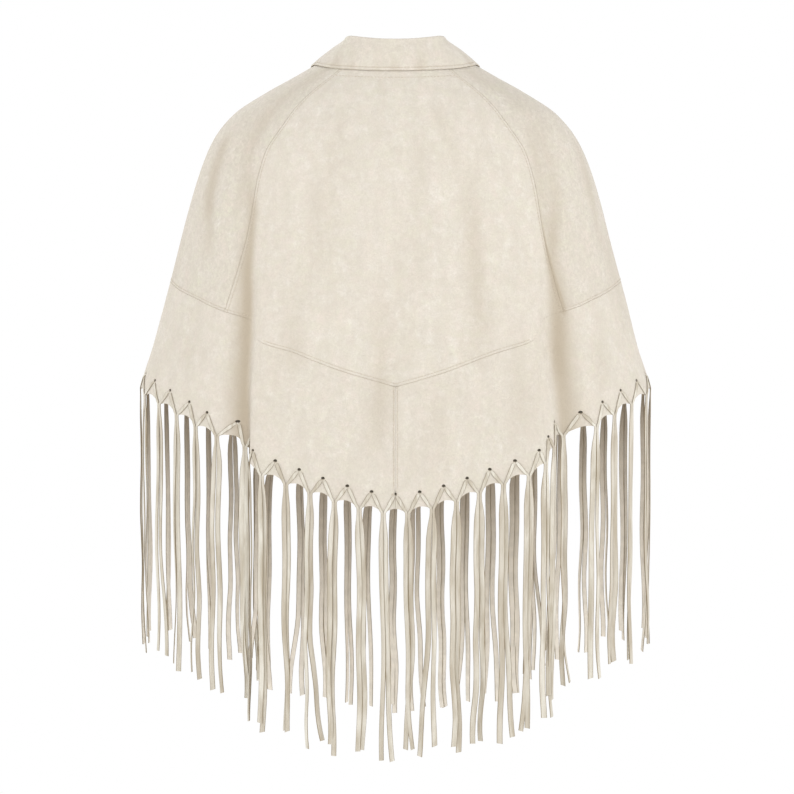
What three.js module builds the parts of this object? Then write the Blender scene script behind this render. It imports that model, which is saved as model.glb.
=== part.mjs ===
// Fringed suede poncho, worn form, held open and empty.
// Lengths are in millimetres, Z is up, the wearer's front faces -Y.
// The origin is the centre of the neck opening, level with the collar seam at the centre back.
import * as THREE from 'three';

// Cloth
const WALL = 1.5;
const SEAM_GAP = 0.3;

// The reference girth that places every seam: half width and half depth of the hem.
const GIRTH_HALF_WIDTH = 331;
const GIRTH_HALF_DEPTH = 153;

// Level sections of the garment, hem to neck: height, half width, depth to the back and to the front.
const SECTIONS = [
  { z: -620, width: 342, back: 168, front: 162 },
  { z: -424, width: 332, back: 153, front: 150 },
  { z: -362, width: 314, back: 147, front: 145 },
  { z: -300, width: 298, back: 141, front: 139 },
  { z: -237, width: 281, back: 134, front: 130 },
  { z: -175, width: 264, back: 127, front: 114 },
  { z: -128, width: 249, back: 119, front: 97 },
  { z: -97, width: 235, back: 110, front: 80 },
  { z: -65, width: 209, back: 98, front: 63 },
  { z: -34, width: 162, back: 83, front: 54 },
  { z: -18, width: 133, back: 73, front: 50 },
  { z: 0, width: 101, back: 62, front: 43 },
  { z: 14, width: 72, back: 52, front: 36 },
  { z: 30, width: 50, back: 42, front: 28 },
];

// Stations round one side: 0 at the centre back, 1 at the side, 2 at the centre front.
// Lace holes, with a lobe of the hem between each two, at the side and at the centre front.
const BACK_HOLES = [
  0, 0.0735, 0.147, 0.222, 0.297, 0.373, 0.443,
  0.483, 0.527, 0.612, 0.69, 0.782, 0.872, 0.96,
];
const FRONT_HOLES = [
  1.04, 1.128, 1.218, 1.31, 1.388, 1.473, 1.517,
  1.557, 1.638, 1.719, 1.801, 1.882, 1.963,
];
const SIDE = 1;
const CENTRE_FRONT = 2;
const SHOULDER_BACK = 0.612;
const SHOULDER_FRONT = 1.388;

// Heights along the stations
const NECK_LINE = [
  { at: 0, z: 0 },
  { at: 0.1, z: 0.3 },
  { at: 0.45, z: 6 },
  { at: 0.9, z: 14 },
  { at: 1.05, z: 13 },
  { at: 1.3, z: -3 },
  { at: 1.55, z: -30 },
  { at: 1.8, z: -58 },
  { at: 2, z: -70 },
];
const V_SEAM = [
  { at: 0, z: -409 },
  { at: 0.17, z: -390 },
  { at: 0.341, z: -367 },
  { at: 0.46, z: -353 },
  { at: 0.527, z: -329 },
  { at: 0.612, z: -316 },
  { at: 0.93, z: -284 },
  { at: 1, z: -279 },
];
const HOLE_LINE = [
  { at: 0, z: -543.5 },
  { at: 0.02, z: -543.4 },
  { at: 0.075, z: -540.5 },
  { at: 0.15, z: -533 },
  { at: 0.3, z: -513 },
  { at: 0.443, z: -490 },
  { at: 0.527, z: -455 },
  { at: 0.612, z: -444 },
  { at: 0.7, z: -430 },
  { at: 0.79, z: -417 },
  { at: 0.9, z: -404 },
  { at: 1, z: -396 },
];
const STRAND_TIPS = [
  { at: 0, z: -873 },
  { at: 0.15, z: -870 },
  { at: 0.3, z: -857 },
  { at: 0.443, z: -834 },
  { at: 0.527, z: -800 },
  { at: 0.7, z: -778 },
  { at: 0.87, z: -758 },
  { at: 1, z: -748 },
];
const FRONT_SHORTER = 10;

// Stations of the slanting shoulder seams and of the neck slit, by height
const BACK_SHOULDER_SEAM = [
  { z: -316, at: 0.612 },
  { z: -254, at: 0.597 },
  { z: -212, at: 0.586 },
  { z: -160, at: 0.58 },
  { z: -114, at: 0.575 },
  { z: -80, at: 0.548 },
  { z: -46, at: 0.528 },
  { z: -10, at: 0.456 },
  { z: 10, at: 0.41 },
];
const FRONT_SHOULDER_SEAM = [
  { z: -316, at: 1.388 },
  { z: -254, at: 1.403 },
  { z: -160, at: 1.42 },
  { z: -114, at: 1.43 },
  { z: -80, at: 1.45 },
  { z: -46, at: 1.475 },
  { z: -10, at: 1.5 },
];
const NECK_SLIT = [
  { z: -420, at: 2 },
  { z: -256, at: 2 },
  { z: -220, at: 1.992 },
  { z: -160, at: 1.974 },
  { z: -100, at: 1.945 },
  { z: -66, at: 1.917 },
  { z: -40, at: 1.9 },
];

// Folds that fall from the shoulders: station at three heights, depth inward and half width at the hem.
// side: 1 for the wearer's left, -1 for the right, 0 for both.
const FOLDS = [
  { side: 0, high: 0.6, middle: 0.507, low: 0.484, start: -150, depth: 21, reach: 17 },
  { side: 0, high: 0.55, middle: 0.455, low: 0.43, start: -190, depth: -9, reach: 22 },
  { side: 0, high: 0.68, middle: 0.6, low: 0.57, start: -240, depth: -5, reach: 24 },
  { side: -1, high: 0.22, middle: 0.26, low: 0.28, start: -180, depth: 4, reach: 26 },
  { side: 1, high: 0.1, middle: 0.05, low: 0.06, start: -330, depth: 4, reach: 24 },
  { side: 0, high: 0.86, middle: 0.83, low: 0.81, start: -200, depth: 4, reach: 26 },
  { side: 0, high: 1.4, middle: 1.493, low: 1.516, start: -150, depth: 20, reach: 17 },
  { side: 0, high: 1.45, middle: 1.545, low: 1.57, start: -190, depth: -9, reach: 22 },
  { side: 0, high: 1.2, middle: 1.19, low: 1.18, start: -210, depth: 4, reach: 28 },
  { side: 1, high: 1.78, middle: 1.75, low: 1.74, start: -260, depth: 4, reach: 26 },
];
const FOLD_MIDDLE = -340;
const FOLD_LOW = -560;

// Laced hem: the edge is cut in lobes that hang between the holes.
const ARCH_DROP = 16;
const LOBE_DROP = 22;

// Thongs: flat, one folded through each hole
const LACE_THICKNESS = 1.2;
const LACE_LIFT = 0.4;
const LACE_NOTCH = 5.1;
const LACE_CAP = 2.6;
const LACE_HALF = 3;
const KNOT_HALF = 3.3;
const KNOT_DROP = 6;
const STRAND_HALF = 3.7;
const STRAND_APART = 0.7;
const STRAND_STATIONS = [0.09, 0.36, 0.68, 1];

// Collar: stand height, and the leaf's edge on the garment, round one side
const STAND = [
  { at: 0, height: 31, lean: 4 },
  { at: 0.15, height: 31, lean: 4 },
  { at: 0.6, height: 30, lean: 8 },
  { at: 1, height: 26, lean: 12 },
  { at: 1.5, height: 22, lean: 5 },
  { at: 2, height: 18, lean: 0 },
];
const LEAF_EDGE = [
  { part: 0, at: 0, z: -11.5 },
  { part: 0.05, at: 0.085, z: -11.4 },
  { part: 0.25, at: 0.42, z: -9 },
  { part: 0.5, at: 0.93, z: -2.5 },
  { part: 0.62, at: 1.12, z: -8 },
  { part: 0.72, at: 1.28, z: -25 },
  { part: 0.86, at: 1.48, z: -60 },
  { part: 1, at: 1.735, z: -98 },
];
const LEAF_FRONT = 1.9;
const LEAF_LIFT = 2.2;

const CLOTH_ROWS = 12;
const LOWER_ROWS = 3;

// Reads one value from a table in sorted order, smoothly.
function read(table, key, value, position) {
  const rising = table[table.length - 1][key] > table[0][key];
  const rows = rising ? table : [...table].reverse();
  const last = rows.length - 1;
  if (position <= rows[0][key]) return rows[0][value];
  if (position >= rows[last][key]) return rows[last][value];
  let i = 0;
  while (position > rows[i + 1][key]) i += 1;
  const step = (k) => (rows[k + 1][value] - rows[k][value]) / (rows[k + 1][key] - rows[k][key]);
  const slope = (k) => {
    if (k === 0) return step(0);
    if (k === last) return step(last - 1);
    const before = step(k - 1);
    const after = step(k);
    if (before * after <= 0) return 0;
    return (2 * before * after) / (before + after);
  };
  const span = rows[i + 1][key] - rows[i][key];
  const t = (position - rows[i][key]) / span;
  const a = rows[i][value];
  const b = rows[i + 1][value];
  const sa = slope(i) * span;
  const sb = slope(i + 1) * span;
  const t2 = t * t;
  const t3 = t2 * t;
  return a * (2 * t3 - 3 * t2 + 1) + sa * (t3 - 2 * t2 + t) + b * (3 * t2 - 2 * t3) + sb * (t3 - t2);
}

const clamp = (value, low, high) => Math.min(Math.max(value, low), high);
const mix = (a, b, t) => a + (b - a) * t;
const smooth = (t) => t * t * (3 - 2 * t);
const backFront = (at) => (at > 1 ? 2 - at : at);
const vSeam = (at) => read(V_SEAM, 'at', 'z', backFront(Math.abs(at)));
const holeLine = (at) => read(HOLE_LINE, 'at', 'z', backFront(Math.abs(at)));
const neckLine = (at) => read(NECK_LINE, 'at', 'z', Math.abs(at));
const strandTip = (at) => (
  read(STRAND_TIPS, 'at', 'z', backFront(Math.abs(at))) + (Math.abs(at) > 1 ? FRONT_SHORTER : 0)
);

// Quarter length of the reference girth, and the bearing of each station on it
const QUARTER_STEPS = 400;
const quarter = [0];
for (let i = 0; i < QUARTER_STEPS; i += 1) {
  const bearing = ((i + 0.5) / QUARTER_STEPS) * (Math.PI / 2);
  const speed = Math.hypot(GIRTH_HALF_WIDTH * Math.cos(bearing), GIRTH_HALF_DEPTH * Math.sin(bearing));
  quarter.push(quarter[i] + speed * (Math.PI / 2 / QUARTER_STEPS));
}
const QUARTER = quarter[QUARTER_STEPS];

function bearingAt(station) {
  const sign = Math.sign(station);
  const at = Math.abs(station);
  const folded = backFront(at);
  const length = folded * QUARTER;
  let i = 0;
  while (i < QUARTER_STEPS - 1 && quarter[i + 1] < length) i += 1;
  const t = (length - quarter[i]) / (quarter[i + 1] - quarter[i]);
  const turn = ((i + t) / QUARTER_STEPS) * (Math.PI / 2);
  const polar = Math.atan2(GIRTH_HALF_WIDTH * Math.sin(turn), GIRTH_HALF_DEPTH * Math.cos(turn));
  return sign * (at > 1 ? Math.PI - polar : polar);
}

function foldDepth(station, z) {
  let depth = 0;
  const side = station < 0 ? -1 : 1;
  const at = Math.abs(station);
  for (const fold of FOLDS) {
    if ((fold.side === 0 || fold.side === side) && z < fold.start) {
      const down = clamp((fold.start - z) / (fold.start - FOLD_LOW), 0, 1);
      const line = z > FOLD_MIDDLE
        ? mix(fold.middle, fold.high, clamp((z - FOLD_MIDDLE) / (fold.start - FOLD_MIDDLE), 0, 1))
        : mix(fold.middle, fold.low, clamp((FOLD_MIDDLE - z) / (FOLD_MIDDLE - FOLD_LOW), 0, 1));
      const reach = fold.reach * mix(1.7, 1, smooth(down));
      const off = ((at - line) * QUARTER) / reach;
      depth += fold.depth * Math.pow(down, 0.8) * Math.exp(-off * off);
    }
  }
  return depth;
}

// Point of the outer face at a station and a height
function clothPoint(station, z) {
  const bearing = bearingAt(station);
  const width = read(SECTIONS, 'z', 'width', z);
  const deep = read(SECTIONS, 'z', Math.cos(bearing) >= 0 ? 'back' : 'front', z);
  const reach = 1 / Math.hypot(Math.sin(bearing) / width, Math.cos(bearing) / deep);
  const radius = reach - foldDepth(station, z);
  return new THREE.Vector3(radius * Math.sin(bearing), radius * Math.cos(bearing), z);
}

function clothNormal(station, z) {
  const round = clothPoint(station + 0.004, z).sub(clothPoint(station - 0.004, z));
  const down = clothPoint(station, z - 1).sub(clothPoint(station, z + 1));
  return round.cross(down).normalize();
}

// Closed sheet from pairs of points on its two faces and cells between them.
function sheetMesh(name, outer, inner, cells, colour) {
  const count = outer.length;
  const points = [];
  for (const p of [...outer, ...inner]) points.push(p.x, p.y, p.z);
  const index = [];
  const edges = new Map();
  for (const cell of cells) {
    for (let i = 1; i < cell.length - 1; i += 1) {
      index.push(cell[0], cell[i], cell[i + 1]);
      index.push(count + cell[0], count + cell[i + 1], count + cell[i]);
    }
    cell.forEach((a, i) => {
      const b = cell[(i + 1) % cell.length];
      edges.set(`${a},${b}`, [a, b]);
    });
  }
  for (const [a, b] of edges.values()) {
    if (!edges.has(`${b},${a}`)) {
      // The same diagonal on both sides of a seam
      const order = (k) => points[3 * k] + 0.37 * points[3 * k + 1] + 0.71 * points[3 * k + 2];
      if (order(a) < order(b)) {
        index.push(b, a, count + a);
        index.push(b, count + a, count + b);
      } else {
        index.push(b, a, count + b);
        index.push(a, count + a, count + b);
      }
    }
  }
  let volume = 0;
  const p = new THREE.Vector3();
  const q = new THREE.Vector3();
  const r = new THREE.Vector3();
  for (let i = 0; i < index.length; i += 3) {
    p.fromArray(points, index[i] * 3);
    q.fromArray(points, index[i + 1] * 3);
    r.fromArray(points, index[i + 2] * 3);
    volume += p.dot(q.cross(r)) / 6;
  }
  if (volume < 0) {
    for (let i = 0; i < index.length; i += 3) {
      [index[i + 1], index[i + 2]] = [index[i + 2], index[i + 1]];
    }
  }
  const geometry = new THREE.BufferGeometry();
  geometry.setAttribute('position', new THREE.Float32BufferAttribute(points, 3));
  geometry.setIndex(index);
  geometry.computeVertexNormals();
  const material = new THREE.MeshStandardMaterial({ color: colour, roughness: 0.95, metalness: 0 });
  material.name = colour === STRAND_COLOUR ? 'thong' : 'suede';
  const mesh = new THREE.Mesh(geometry, material);
  mesh.name = name;
  return mesh;
}

const SUEDE_COLOUR = '#e8e0d0';
const STRAND_COLOUR = '#e2d9c6';

// Moves the border points of a piece inward, square to the border, so that seams part by the seam gap.
function drawIn(grid, bottom) {
  const rows = grid.length;
  const columns = grid[0].length;
  const moved = grid.map((row) => row.map((p) => p.clone()));
  const at = (i, j) => grid[clamp(i, 0, rows - 1)][clamp(j, 0, columns - 1)];
  const shift = (i, j, di, dj) => {
    const border = at(i + dj, j + di).clone().sub(at(i - dj, j - di)).normalize();
    const step = at(i + di, j + dj).clone().sub(grid[i][j]);
    step.addScaledVector(border, -step.dot(border));
    moved[i][j].add(step.setLength(SEAM_GAP / 2));
  };
  for (let i = 0; i < rows; i += 1) {
    shift(i, 0, 0, 1);
    shift(i, columns - 1, 0, -1);
  }
  for (let j = 0; j < columns; j += 1) {
    shift(0, j, 1, 0);
    if (bottom) shift(rows - 1, j, -1, 0);
  }
  return moved;
}

// Stations of all columns round one side: the holes, the side and the centre front
const COLUMNS = [...BACK_HOLES, SIDE, ...FRONT_HOLES, CENTRE_FRONT];

// One upper piece between two seams, from the neckline to the V seam
function upperPiece(name, stations, from, to) {
  const first = stations[0];
  const last = stations[stations.length - 1];
  const grid = [];
  const normals = [];
  for (let i = 0; i <= CLOTH_ROWS; i += 1) {
    const row = [];
    const normalRow = [];
    for (const station of stations) {
      const part = (station - first) / (last - first);
      let at = station;
      let z = -200;
      for (let round = 0; round < 12; round += 1) {
        const bearing = bearingAt(at);
        const power = 1.2 + 0.7 * Math.sin(bearing) ** 2;
        z = mix(neckLine(at), vSeam(at), (i / CLOTH_ROWS) ** power);
        at = mix(from(z), to(z), part);
      }
      row.push(clothPoint(at, z));
      normalRow.push(clothNormal(at, z));
    }
    grid.push(row);
    normals.push(normalRow);
  }
  return clothGrid(name, grid, normals);
}

function clothGrid(name, grid, normals, extra) {
  const moved = drawIn(grid, !extra);
  const outer = [];
  const inner = [];
  const cells = [];
  const columns = grid[0].length;
  moved.forEach((row, i) => row.forEach((p, j) => {
    outer.push(p);
    inner.push(p.clone().addScaledVector(normals[i][j], -WALL));
  }));
  for (let i = 0; i < grid.length - 1; i += 1) {
    for (let j = 0; j < columns - 1; j += 1) {
      const a = i * columns + j;
      cells.push([a, a + 1, a + columns + 1, a + columns]);
    }
  }
  if (extra) extra(outer, inner, cells, columns);
  return sheetMesh(name, outer, inner, cells, SUEDE_COLOUR);
}

// Hem points at hole k and at the lobe after it, on one side of the garment
const HOLES = [...BACK_HOLES, ...FRONT_HOLES];
const LAST_HOLE = HOLES.length - 1;
const isHole = (station) => HOLES.includes(Math.abs(station));
const archPoint = (at) => clothPoint(at, holeLine(at) - ARCH_DROP);
const lobeStation = (k) => (k === LAST_HOLE ? CENTRE_FRONT : (HOLES[k] + HOLES[k + 1]) / 2);
const lobeHeight = (at) => holeLine(at) - LOBE_DROP;

// One lower panel, from the V seam to the lobed hem edge
function lowerPiece(name, side) {
  const stations = COLUMNS.map((at) => side * at);
  const grid = [];
  const normals = [];
  for (let i = 0; i <= LOWER_ROWS; i += 1) {
    const heights = stations.map((at) => mix(vSeam(at), holeLine(at), i / LOWER_ROWS));
    grid.push(stations.map((at, j) => clothPoint(at, heights[j])));
    normals.push(stations.map((at, j) => clothNormal(at, heights[j])));
  }
  const edge = (outer, inner, cells, columns) => {
    const top = (grid.length - 1) * columns;
    const place = (at, z, inward) => {
      const p = clothPoint(at, z);
      if (inward) p.add(clothPoint(at + inward, z).sub(p).setLength(SEAM_GAP / 2));
      outer.push(p);
      inner.push(p.clone().addScaledVector(clothNormal(at, z), -WALL));
      return outer.length - 1;
    };
    const arch = [];
    stations.forEach((at, j) => {
      if (isHole(at)) arch[j] = place(at, holeLine(at) - ARCH_DROP, j === 0 ? side * 0.02 : 0);
    });
    for (let j = 0; j < columns - 1; j += 1) {
      if (isHole(stations[j])) {
        const ends = j === columns - 2;
        const wide = !ends && !isHole(stations[j + 1]);
        const next = wide ? j + 2 : j + 1;
        const middle = ends ? stations[next] : (stations[j] + stations[next]) / 2;
        const lobe = place(middle, lobeHeight(middle), ends ? -side * 0.02 : 0);
        cells.push([top + j, lobe, arch[j]]);
        if (wide) {
          cells.push([top + j, top + j + 1, lobe]);
          cells.push([top + j + 1, top + next, lobe]);
        } else {
          cells.push([top + j, top + next, lobe]);
        }
        if (!ends) cells.push([top + next, arch[next], lobe]);
      }
    }
  };
  return clothGrid(name, grid, normals, edge);
}

// Fixed scatter between 0 and 1
function scatter(a, b) {
  const value = Math.sin(a * 127.1 + b * 311.7) * 43758.5453;
  return value - Math.floor(value);
}

// Facets of the lower panels' outer faces, for what lies on them
const facets = [];
function keepFacets(mesh) {
  const { position } = mesh.geometry.attributes;
  const half = position.count / 2;
  const list = mesh.geometry.index.array;
  for (let i = 0; i < list.length; i += 3) {
    if (list[i] < half && list[i + 1] < half && list[i + 2] < half) {
      facets.push([0, 1, 2].map((k) => new THREE.Vector3().fromBufferAttribute(position, list[i + k])));
    }
  }
}

// The point of the cloth's facets met by the line through a point along a normal
const sightLine = new THREE.Ray();
const sightHit = new THREE.Vector3();
function onCloth(point, normal) {
  const start = point.clone().addScaledVector(normal, 12);
  sightLine.set(start, normal.clone().negate());
  let best = point;
  let nearest = 24;
  for (const [a, b, c] of facets) {
    if (a.distanceToSquared(point) < 6400 && sightLine.intersectTriangle(a, b, c, false, sightHit)) {
      const distance = sightHit.distanceTo(start);
      if (distance < nearest) {
        nearest = distance;
        best = sightHit.clone();
      }
    }
  }
  return best.clone();
}

// A run of thongs with its lacing: signed hole numbers in order, the right side of the wearer negative.
function fringe(name, holes) {
  const outer = [];
  const inner = [];
  const cells = [];
  const place = (p, normal, lift = LACE_LIFT) => {
    inner.push(p.clone().addScaledVector(normal, lift));
    outer.push(p.clone().addScaledVector(normal, lift + LACE_THICKNESS));
    return outer.length - 1;
  };
  const wrap = (hole) => (hole > LAST_HOLE ? hole - 2 * LAST_HOLE - 1 : hole);
  const stationOf = (hole) => Math.sign(wrap(hole)) * HOLES[Math.abs(wrap(hole))];
  const lobeOf = (hole) => {
    const a = wrap(hole);
    const b = wrap(hole + 1);
    const near = Math.abs(a) < Math.abs(b) ? a : b;
    const sign = a + b < 0 ? -1 : 1;
    return { at: sign * lobeStation(Math.abs(near)), number: a };
  };
  const up = new THREE.Vector3(0, 0, 1);
  const lobePoints = (hole) => {
    const { at, number } = lobeOf(hole);
    const z = lobeHeight(at);
    const point = clothPoint(at, z);
    const normal = clothNormal(at, z);
    const above = onCloth(clothPoint(at, z + LACE_NOTCH), normal);
    const toArch = (k) => archPoint(stationOf(k)).sub(point).setZ(0).normalize();
    return { at, number, z, point, normal, above, toArch: { '-1': toArch(hole), 1: toArch(hole + 1) } };
  };
  // Half a lobe: toward is -1 for the strand nearer the hole before it, 1 for the one after.
  const halfLobe = (lobe, toward, shared) => {
    const { point, normal, at, number, z } = lobe;
    const aside = lobe.toArch[toward];
    const part = shared ? 0 : SEAM_GAP / 2;
    const beside = (p, distance) => p.clone().addScaledVector(aside, distance);
    const join = shared || {
      above: place(beside(lobe.above, part), normal),
      middle: place(beside(point, part), normal),
      crotch: place(beside(point, part).addScaledVector(up, -KNOT_DROP), normal),
    };
    const side = place(beside(point, KNOT_HALF), normal);
    const below = place(beside(point, KNOT_HALF).addScaledVector(up, -KNOT_DROP), normal);
    const cell = (list) => cells.push(toward > 0 ? [...list].reverse() : list);
    cell([join.middle, side, below, join.crotch]);
    const face = new THREE.Vector3(normal.x, normal.y, 0).normalize();
    const level = new THREE.Vector3(face.y, -face.x, 0);
    const seed = number + 60;
    const top = z - KNOT_DROP;
    const tip = strandTip(at) + (scatter(seed, toward + 5) - 0.5) * 14;
    const lean = (scatter(seed, 11) - 0.5) * 5;
    const bow = (scatter(seed, 17) - 0.5) * 5;
    const outward = (scatter(seed, 29) - 0.5) * 5;
    const spread = scatter(seed, toward + 37) * 2.6;
    const turn = (scatter(seed, toward + 23) - 0.5) * 1.1;
    let before = [join.crotch, below];
    STRAND_STATIONS.forEach((t) => {
      const across = aside.clone().multiplyScalar(Math.cos(turn * t)).addScaledVector(face, Math.sin(turn * t));
      const thick = across.clone().cross(up).normalize();
      if (thick.dot(face) < 0) thick.negate();
      const centre = beside(point, STRAND_HALF + STRAND_APART + spread * t);
      centre.addScaledVector(normal, LACE_LIFT + LACE_THICKNESS / 2);
      centre.addScaledVector(level, lean * t * t + bow * Math.sin(Math.PI * t));
      centre.addScaledVector(face, outward * t);
      centre.setZ(mix(top, tip, t));
      const near = centre.clone().addScaledVector(across, -STRAND_HALF);
      const far = centre.clone().addScaledVector(across, STRAND_HALF);
      const ends = [near, far].map((p) => {
        inner.push(p.clone().addScaledVector(thick, -LACE_THICKNESS / 2));
        outer.push(p.clone().addScaledVector(thick, LACE_THICKNESS / 2));
        return outer.length - 1;
      });
      cell([before[0], before[1], ends[1], ends[0]]);
      before = ends;
    });
    return { join, side };
  };

  let carried = null;
  holes.forEach((hole, index) => {
    const at = stationOf(hole);
    const z = holeLine(at);
    const point = clothPoint(at, z);
    const normal = clothNormal(at, z);
    const down = archPoint(at).sub(point).normalize();
    const rise = onCloth(clothPoint(at, z + LACE_CAP), normal);
    const notch = place(point.clone().addScaledVector(down, LACE_NOTCH), normal);
    const centre = place(point, normal);
    const cap = place(rise, normal);
    const before = lobePoints(hole - 1);
    const after = lobePoints(hole);
    const left = carried || halfLobe(before, 1, null);
    const right = halfLobe(after, -1, null);
    const corner = (lobe) => {
      const line = lobe.point.clone().sub(point).normalize();
      const off = line.clone().cross(normal).normalize();
      if (off.dot(down) > 0) off.negate();
      return place(onCloth(point.clone().addScaledVector(off, LACE_HALF), normal), normal);
    };
    const leftCorner = corner(before);
    const rightCorner = corner(after);
    cells.push([notch, centre, left.join.middle, left.side]);
    cells.push([centre, leftCorner, left.join.above, left.join.middle]);
    cells.push([centre, cap, leftCorner]);
    cells.push([centre, notch, right.side, right.join.middle]);
    cells.push([centre, right.join.middle, right.join.above, rightCorner]);
    cells.push([centre, rightCorner, cap]);
    carried = index < holes.length - 1 ? halfLobe(after, 1, right.join) : null;
  });
  return sheetMesh(name, outer, inner, cells, STRAND_COLOUR);
}

const range = (from, to) => Array.from({ length: to - from + 1 }, (_, i) => from + i);

const between = (side, from, to) => COLUMNS.filter((at) => at >= from && at <= to).map((at) => side * at);
const seamBack = (side) => (z) => side * read(BACK_SHOULDER_SEAM, 'z', 'at', z);
const seamFront = (side) => (z) => side * read(FRONT_SHOULDER_SEAM, 'z', 'at', z);
const slit = (side) => (z) => side * read(NECK_SLIT, 'z', 'at', z);

const garment = new THREE.Group();
garment.name = 'fringed_poncho';
const backHalf = between(1, 0, SHOULDER_BACK);
const backStations = [...backHalf.slice(1).reverse().map((at) => -at), ...backHalf];
garment.add(upperPiece('upper_back', backStations, seamBack(-1), seamBack(1)));
for (const [word, side] of [['left', 1], ['right', -1]]) {
  const over = between(side, SHOULDER_BACK, SHOULDER_FRONT);
  const front = between(side, SHOULDER_FRONT, CENTRE_FRONT);
  garment.add(upperPiece(`shoulder_${word}`, over, seamBack(side), seamFront(side)));
  garment.add(upperPiece(`upper_front_${word}`, front, seamFront(side), slit(side)));
  const lower = lowerPiece(`lower_${word}`, side);
  keepFacets(lower);
  garment.add(lower);
}
garment.add(fringe('fringe_back', range(-6, 6)));
garment.add(fringe('fringe_back_side_left', range(7, 13)));
garment.add(fringe('fringe_front_side_left', range(14, 20)));
garment.add(fringe('fringe_front', range(21, 32)));
garment.add(fringe('fringe_front_side_right', range(-20, -14)));
garment.add(fringe('fringe_back_side_right', range(-13, -7)));

// The collar: a stand that rises from the neckline and a leaf turned down over it
const standTop = (at) => {
  const sign = Math.sign(at) || 1;
  const height = read(STAND, 'at', 'height', Math.abs(at));
  const lean = read(STAND, 'at', 'lean', Math.abs(at));
  const foot = clothPoint(at, neckLine(at));
  const inward = new THREE.Vector3(-foot.x, -foot.y, 0).normalize();
  return { foot, inward, height, lean, sign };
};

function collarPath(part, side) {
  const at = side * mix(0, LEAF_FRONT, part);
  return at;
}

const COLLAR_COLUMNS = 20;
const collarParts = range(-COLLAR_COLUMNS, COLLAR_COLUMNS).map((i) => i / COLLAR_COLUMNS);

function collarStand() {
  const outer = [];
  const inner = [];
  const cells = [];
  const rows = 4;
  for (const part of collarParts) {
    const at = collarPath(Math.abs(part), Math.sign(part) || 1);
    const { foot, inward, height, lean } = standTop(at);
    for (let i = 0; i < rows; i += 1) {
      const t = i / (rows - 1);
      const p = foot.clone().addScaledVector(inward, lean * smooth(t) + 0.2);
      p.z += mix(SEAM_GAP + 0.5, height - 2.2, t);
      outer.push(p);
      inner.push(p.clone().addScaledVector(inward, WALL));
    }
  }
  for (let j = 0; j < collarParts.length - 1; j += 1) {
    for (let i = 0; i < rows - 1; i += 1) {
      const a = j * rows + i;
      cells.push([a, a + 1, a + rows + 1, a + rows]);
    }
  }
  return sheetMesh('collar_stand', outer, inner, cells, SUEDE_COLOUR);
}

function collarLeaf() {
  const outer = [];
  const inner = [];
  const cells = [];
  // Roll of the fold: outward and upward from the top of the stand, then the face normal's rise
  const roll = [
    { out: -0.2, up: -1.6 },
    { out: 0.2, up: 0.6 },
    { out: 2.4, up: 2 },
    { out: 5.2, up: 0.6 },
    { out: 7, up: -3 },
  ];
  const falls = [0.35, 0.68, 1];
  const rows = roll.length + falls.length;
  for (const part of collarParts) {
    const side = Math.sign(part) || 1;
    const share = Math.abs(part);
    const at = collarPath(share, side);
    const { foot, inward, height, lean } = standTop(at);
    const top = foot.clone().addScaledVector(inward, lean + 0.2);
    top.z += height;
    const path = roll.map(({ out, up }) => {
      const p = top.clone().addScaledVector(inward, -out);
      p.z += up;
      return p;
    });
    const edgeAt = side * read(LEAF_EDGE, 'part', 'at', share);
    const edgeZ = read(LEAF_EDGE, 'part', 'z', share);
    const edge = clothPoint(edgeAt, edgeZ).addScaledVector(clothNormal(edgeAt, edgeZ), LEAF_LIFT + WALL);
    const start = path[path.length - 1];
    const away = clothNormal(edgeAt, edgeZ);
    for (const t of falls) {
      path.push(start.clone().lerp(edge, t).addScaledVector(away, 3.5 * Math.sin(Math.PI * t)));
    }
    path.forEach((p, i) => {
      const before = path[Math.max(i - 1, 0)];
      const after = path[Math.min(i + 1, path.length - 1)];
      const along = after.clone().sub(before).normalize();
      const tangent = new THREE.Vector3(-inward.y, inward.x, 0);
      const normal = along.cross(tangent).normalize();
      if (i > 1 && normal.dot(inward) > 0 && i > 2) normal.negate();
      if (i === 2 && normal.z < 0) normal.negate();
      if (i < 2 && normal.dot(inward) < 0) normal.negate();
      outer.push(p);
      inner.push(p.clone().addScaledVector(normal, -WALL));
    });
  }
  for (let j = 0; j < collarParts.length - 1; j += 1) {
    for (let i = 0; i < rows - 1; i += 1) {
      const a = j * rows + i;
      cells.push([a, a + 1, a + rows + 1, a + rows]);
    }
  }
  return sheetMesh('collar_leaf', outer, inner, cells, SUEDE_COLOUR);
}

garment.add(collarStand());
garment.add(collarLeaf());

export default garment;
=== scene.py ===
"""Fringed suede poncho: the visible cloth, collar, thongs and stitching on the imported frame."""

import math

import bpy
import numpy as np
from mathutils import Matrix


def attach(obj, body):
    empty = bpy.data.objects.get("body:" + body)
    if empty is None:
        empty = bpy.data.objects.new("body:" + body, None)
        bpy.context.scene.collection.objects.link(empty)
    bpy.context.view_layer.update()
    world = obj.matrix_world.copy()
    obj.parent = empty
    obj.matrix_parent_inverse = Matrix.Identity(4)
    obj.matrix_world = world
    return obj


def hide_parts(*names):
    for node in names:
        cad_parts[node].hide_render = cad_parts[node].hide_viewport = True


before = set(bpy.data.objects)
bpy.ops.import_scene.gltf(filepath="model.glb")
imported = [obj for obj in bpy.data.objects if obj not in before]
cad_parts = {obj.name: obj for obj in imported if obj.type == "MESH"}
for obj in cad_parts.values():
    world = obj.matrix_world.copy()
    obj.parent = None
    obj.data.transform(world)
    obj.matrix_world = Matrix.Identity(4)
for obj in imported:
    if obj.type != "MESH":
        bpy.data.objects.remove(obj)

bl_info = {
    "name": "Fringed suede poncho",
    "version": (1, 0, 0),
    "blender": (4, 5, 0),
    "location": "View3D > Sidebar > Poncho",
    "description": "Builds the cloth, collar, thongs and stitching of a fringed suede poncho",
    "category": "Object",
}

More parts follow.
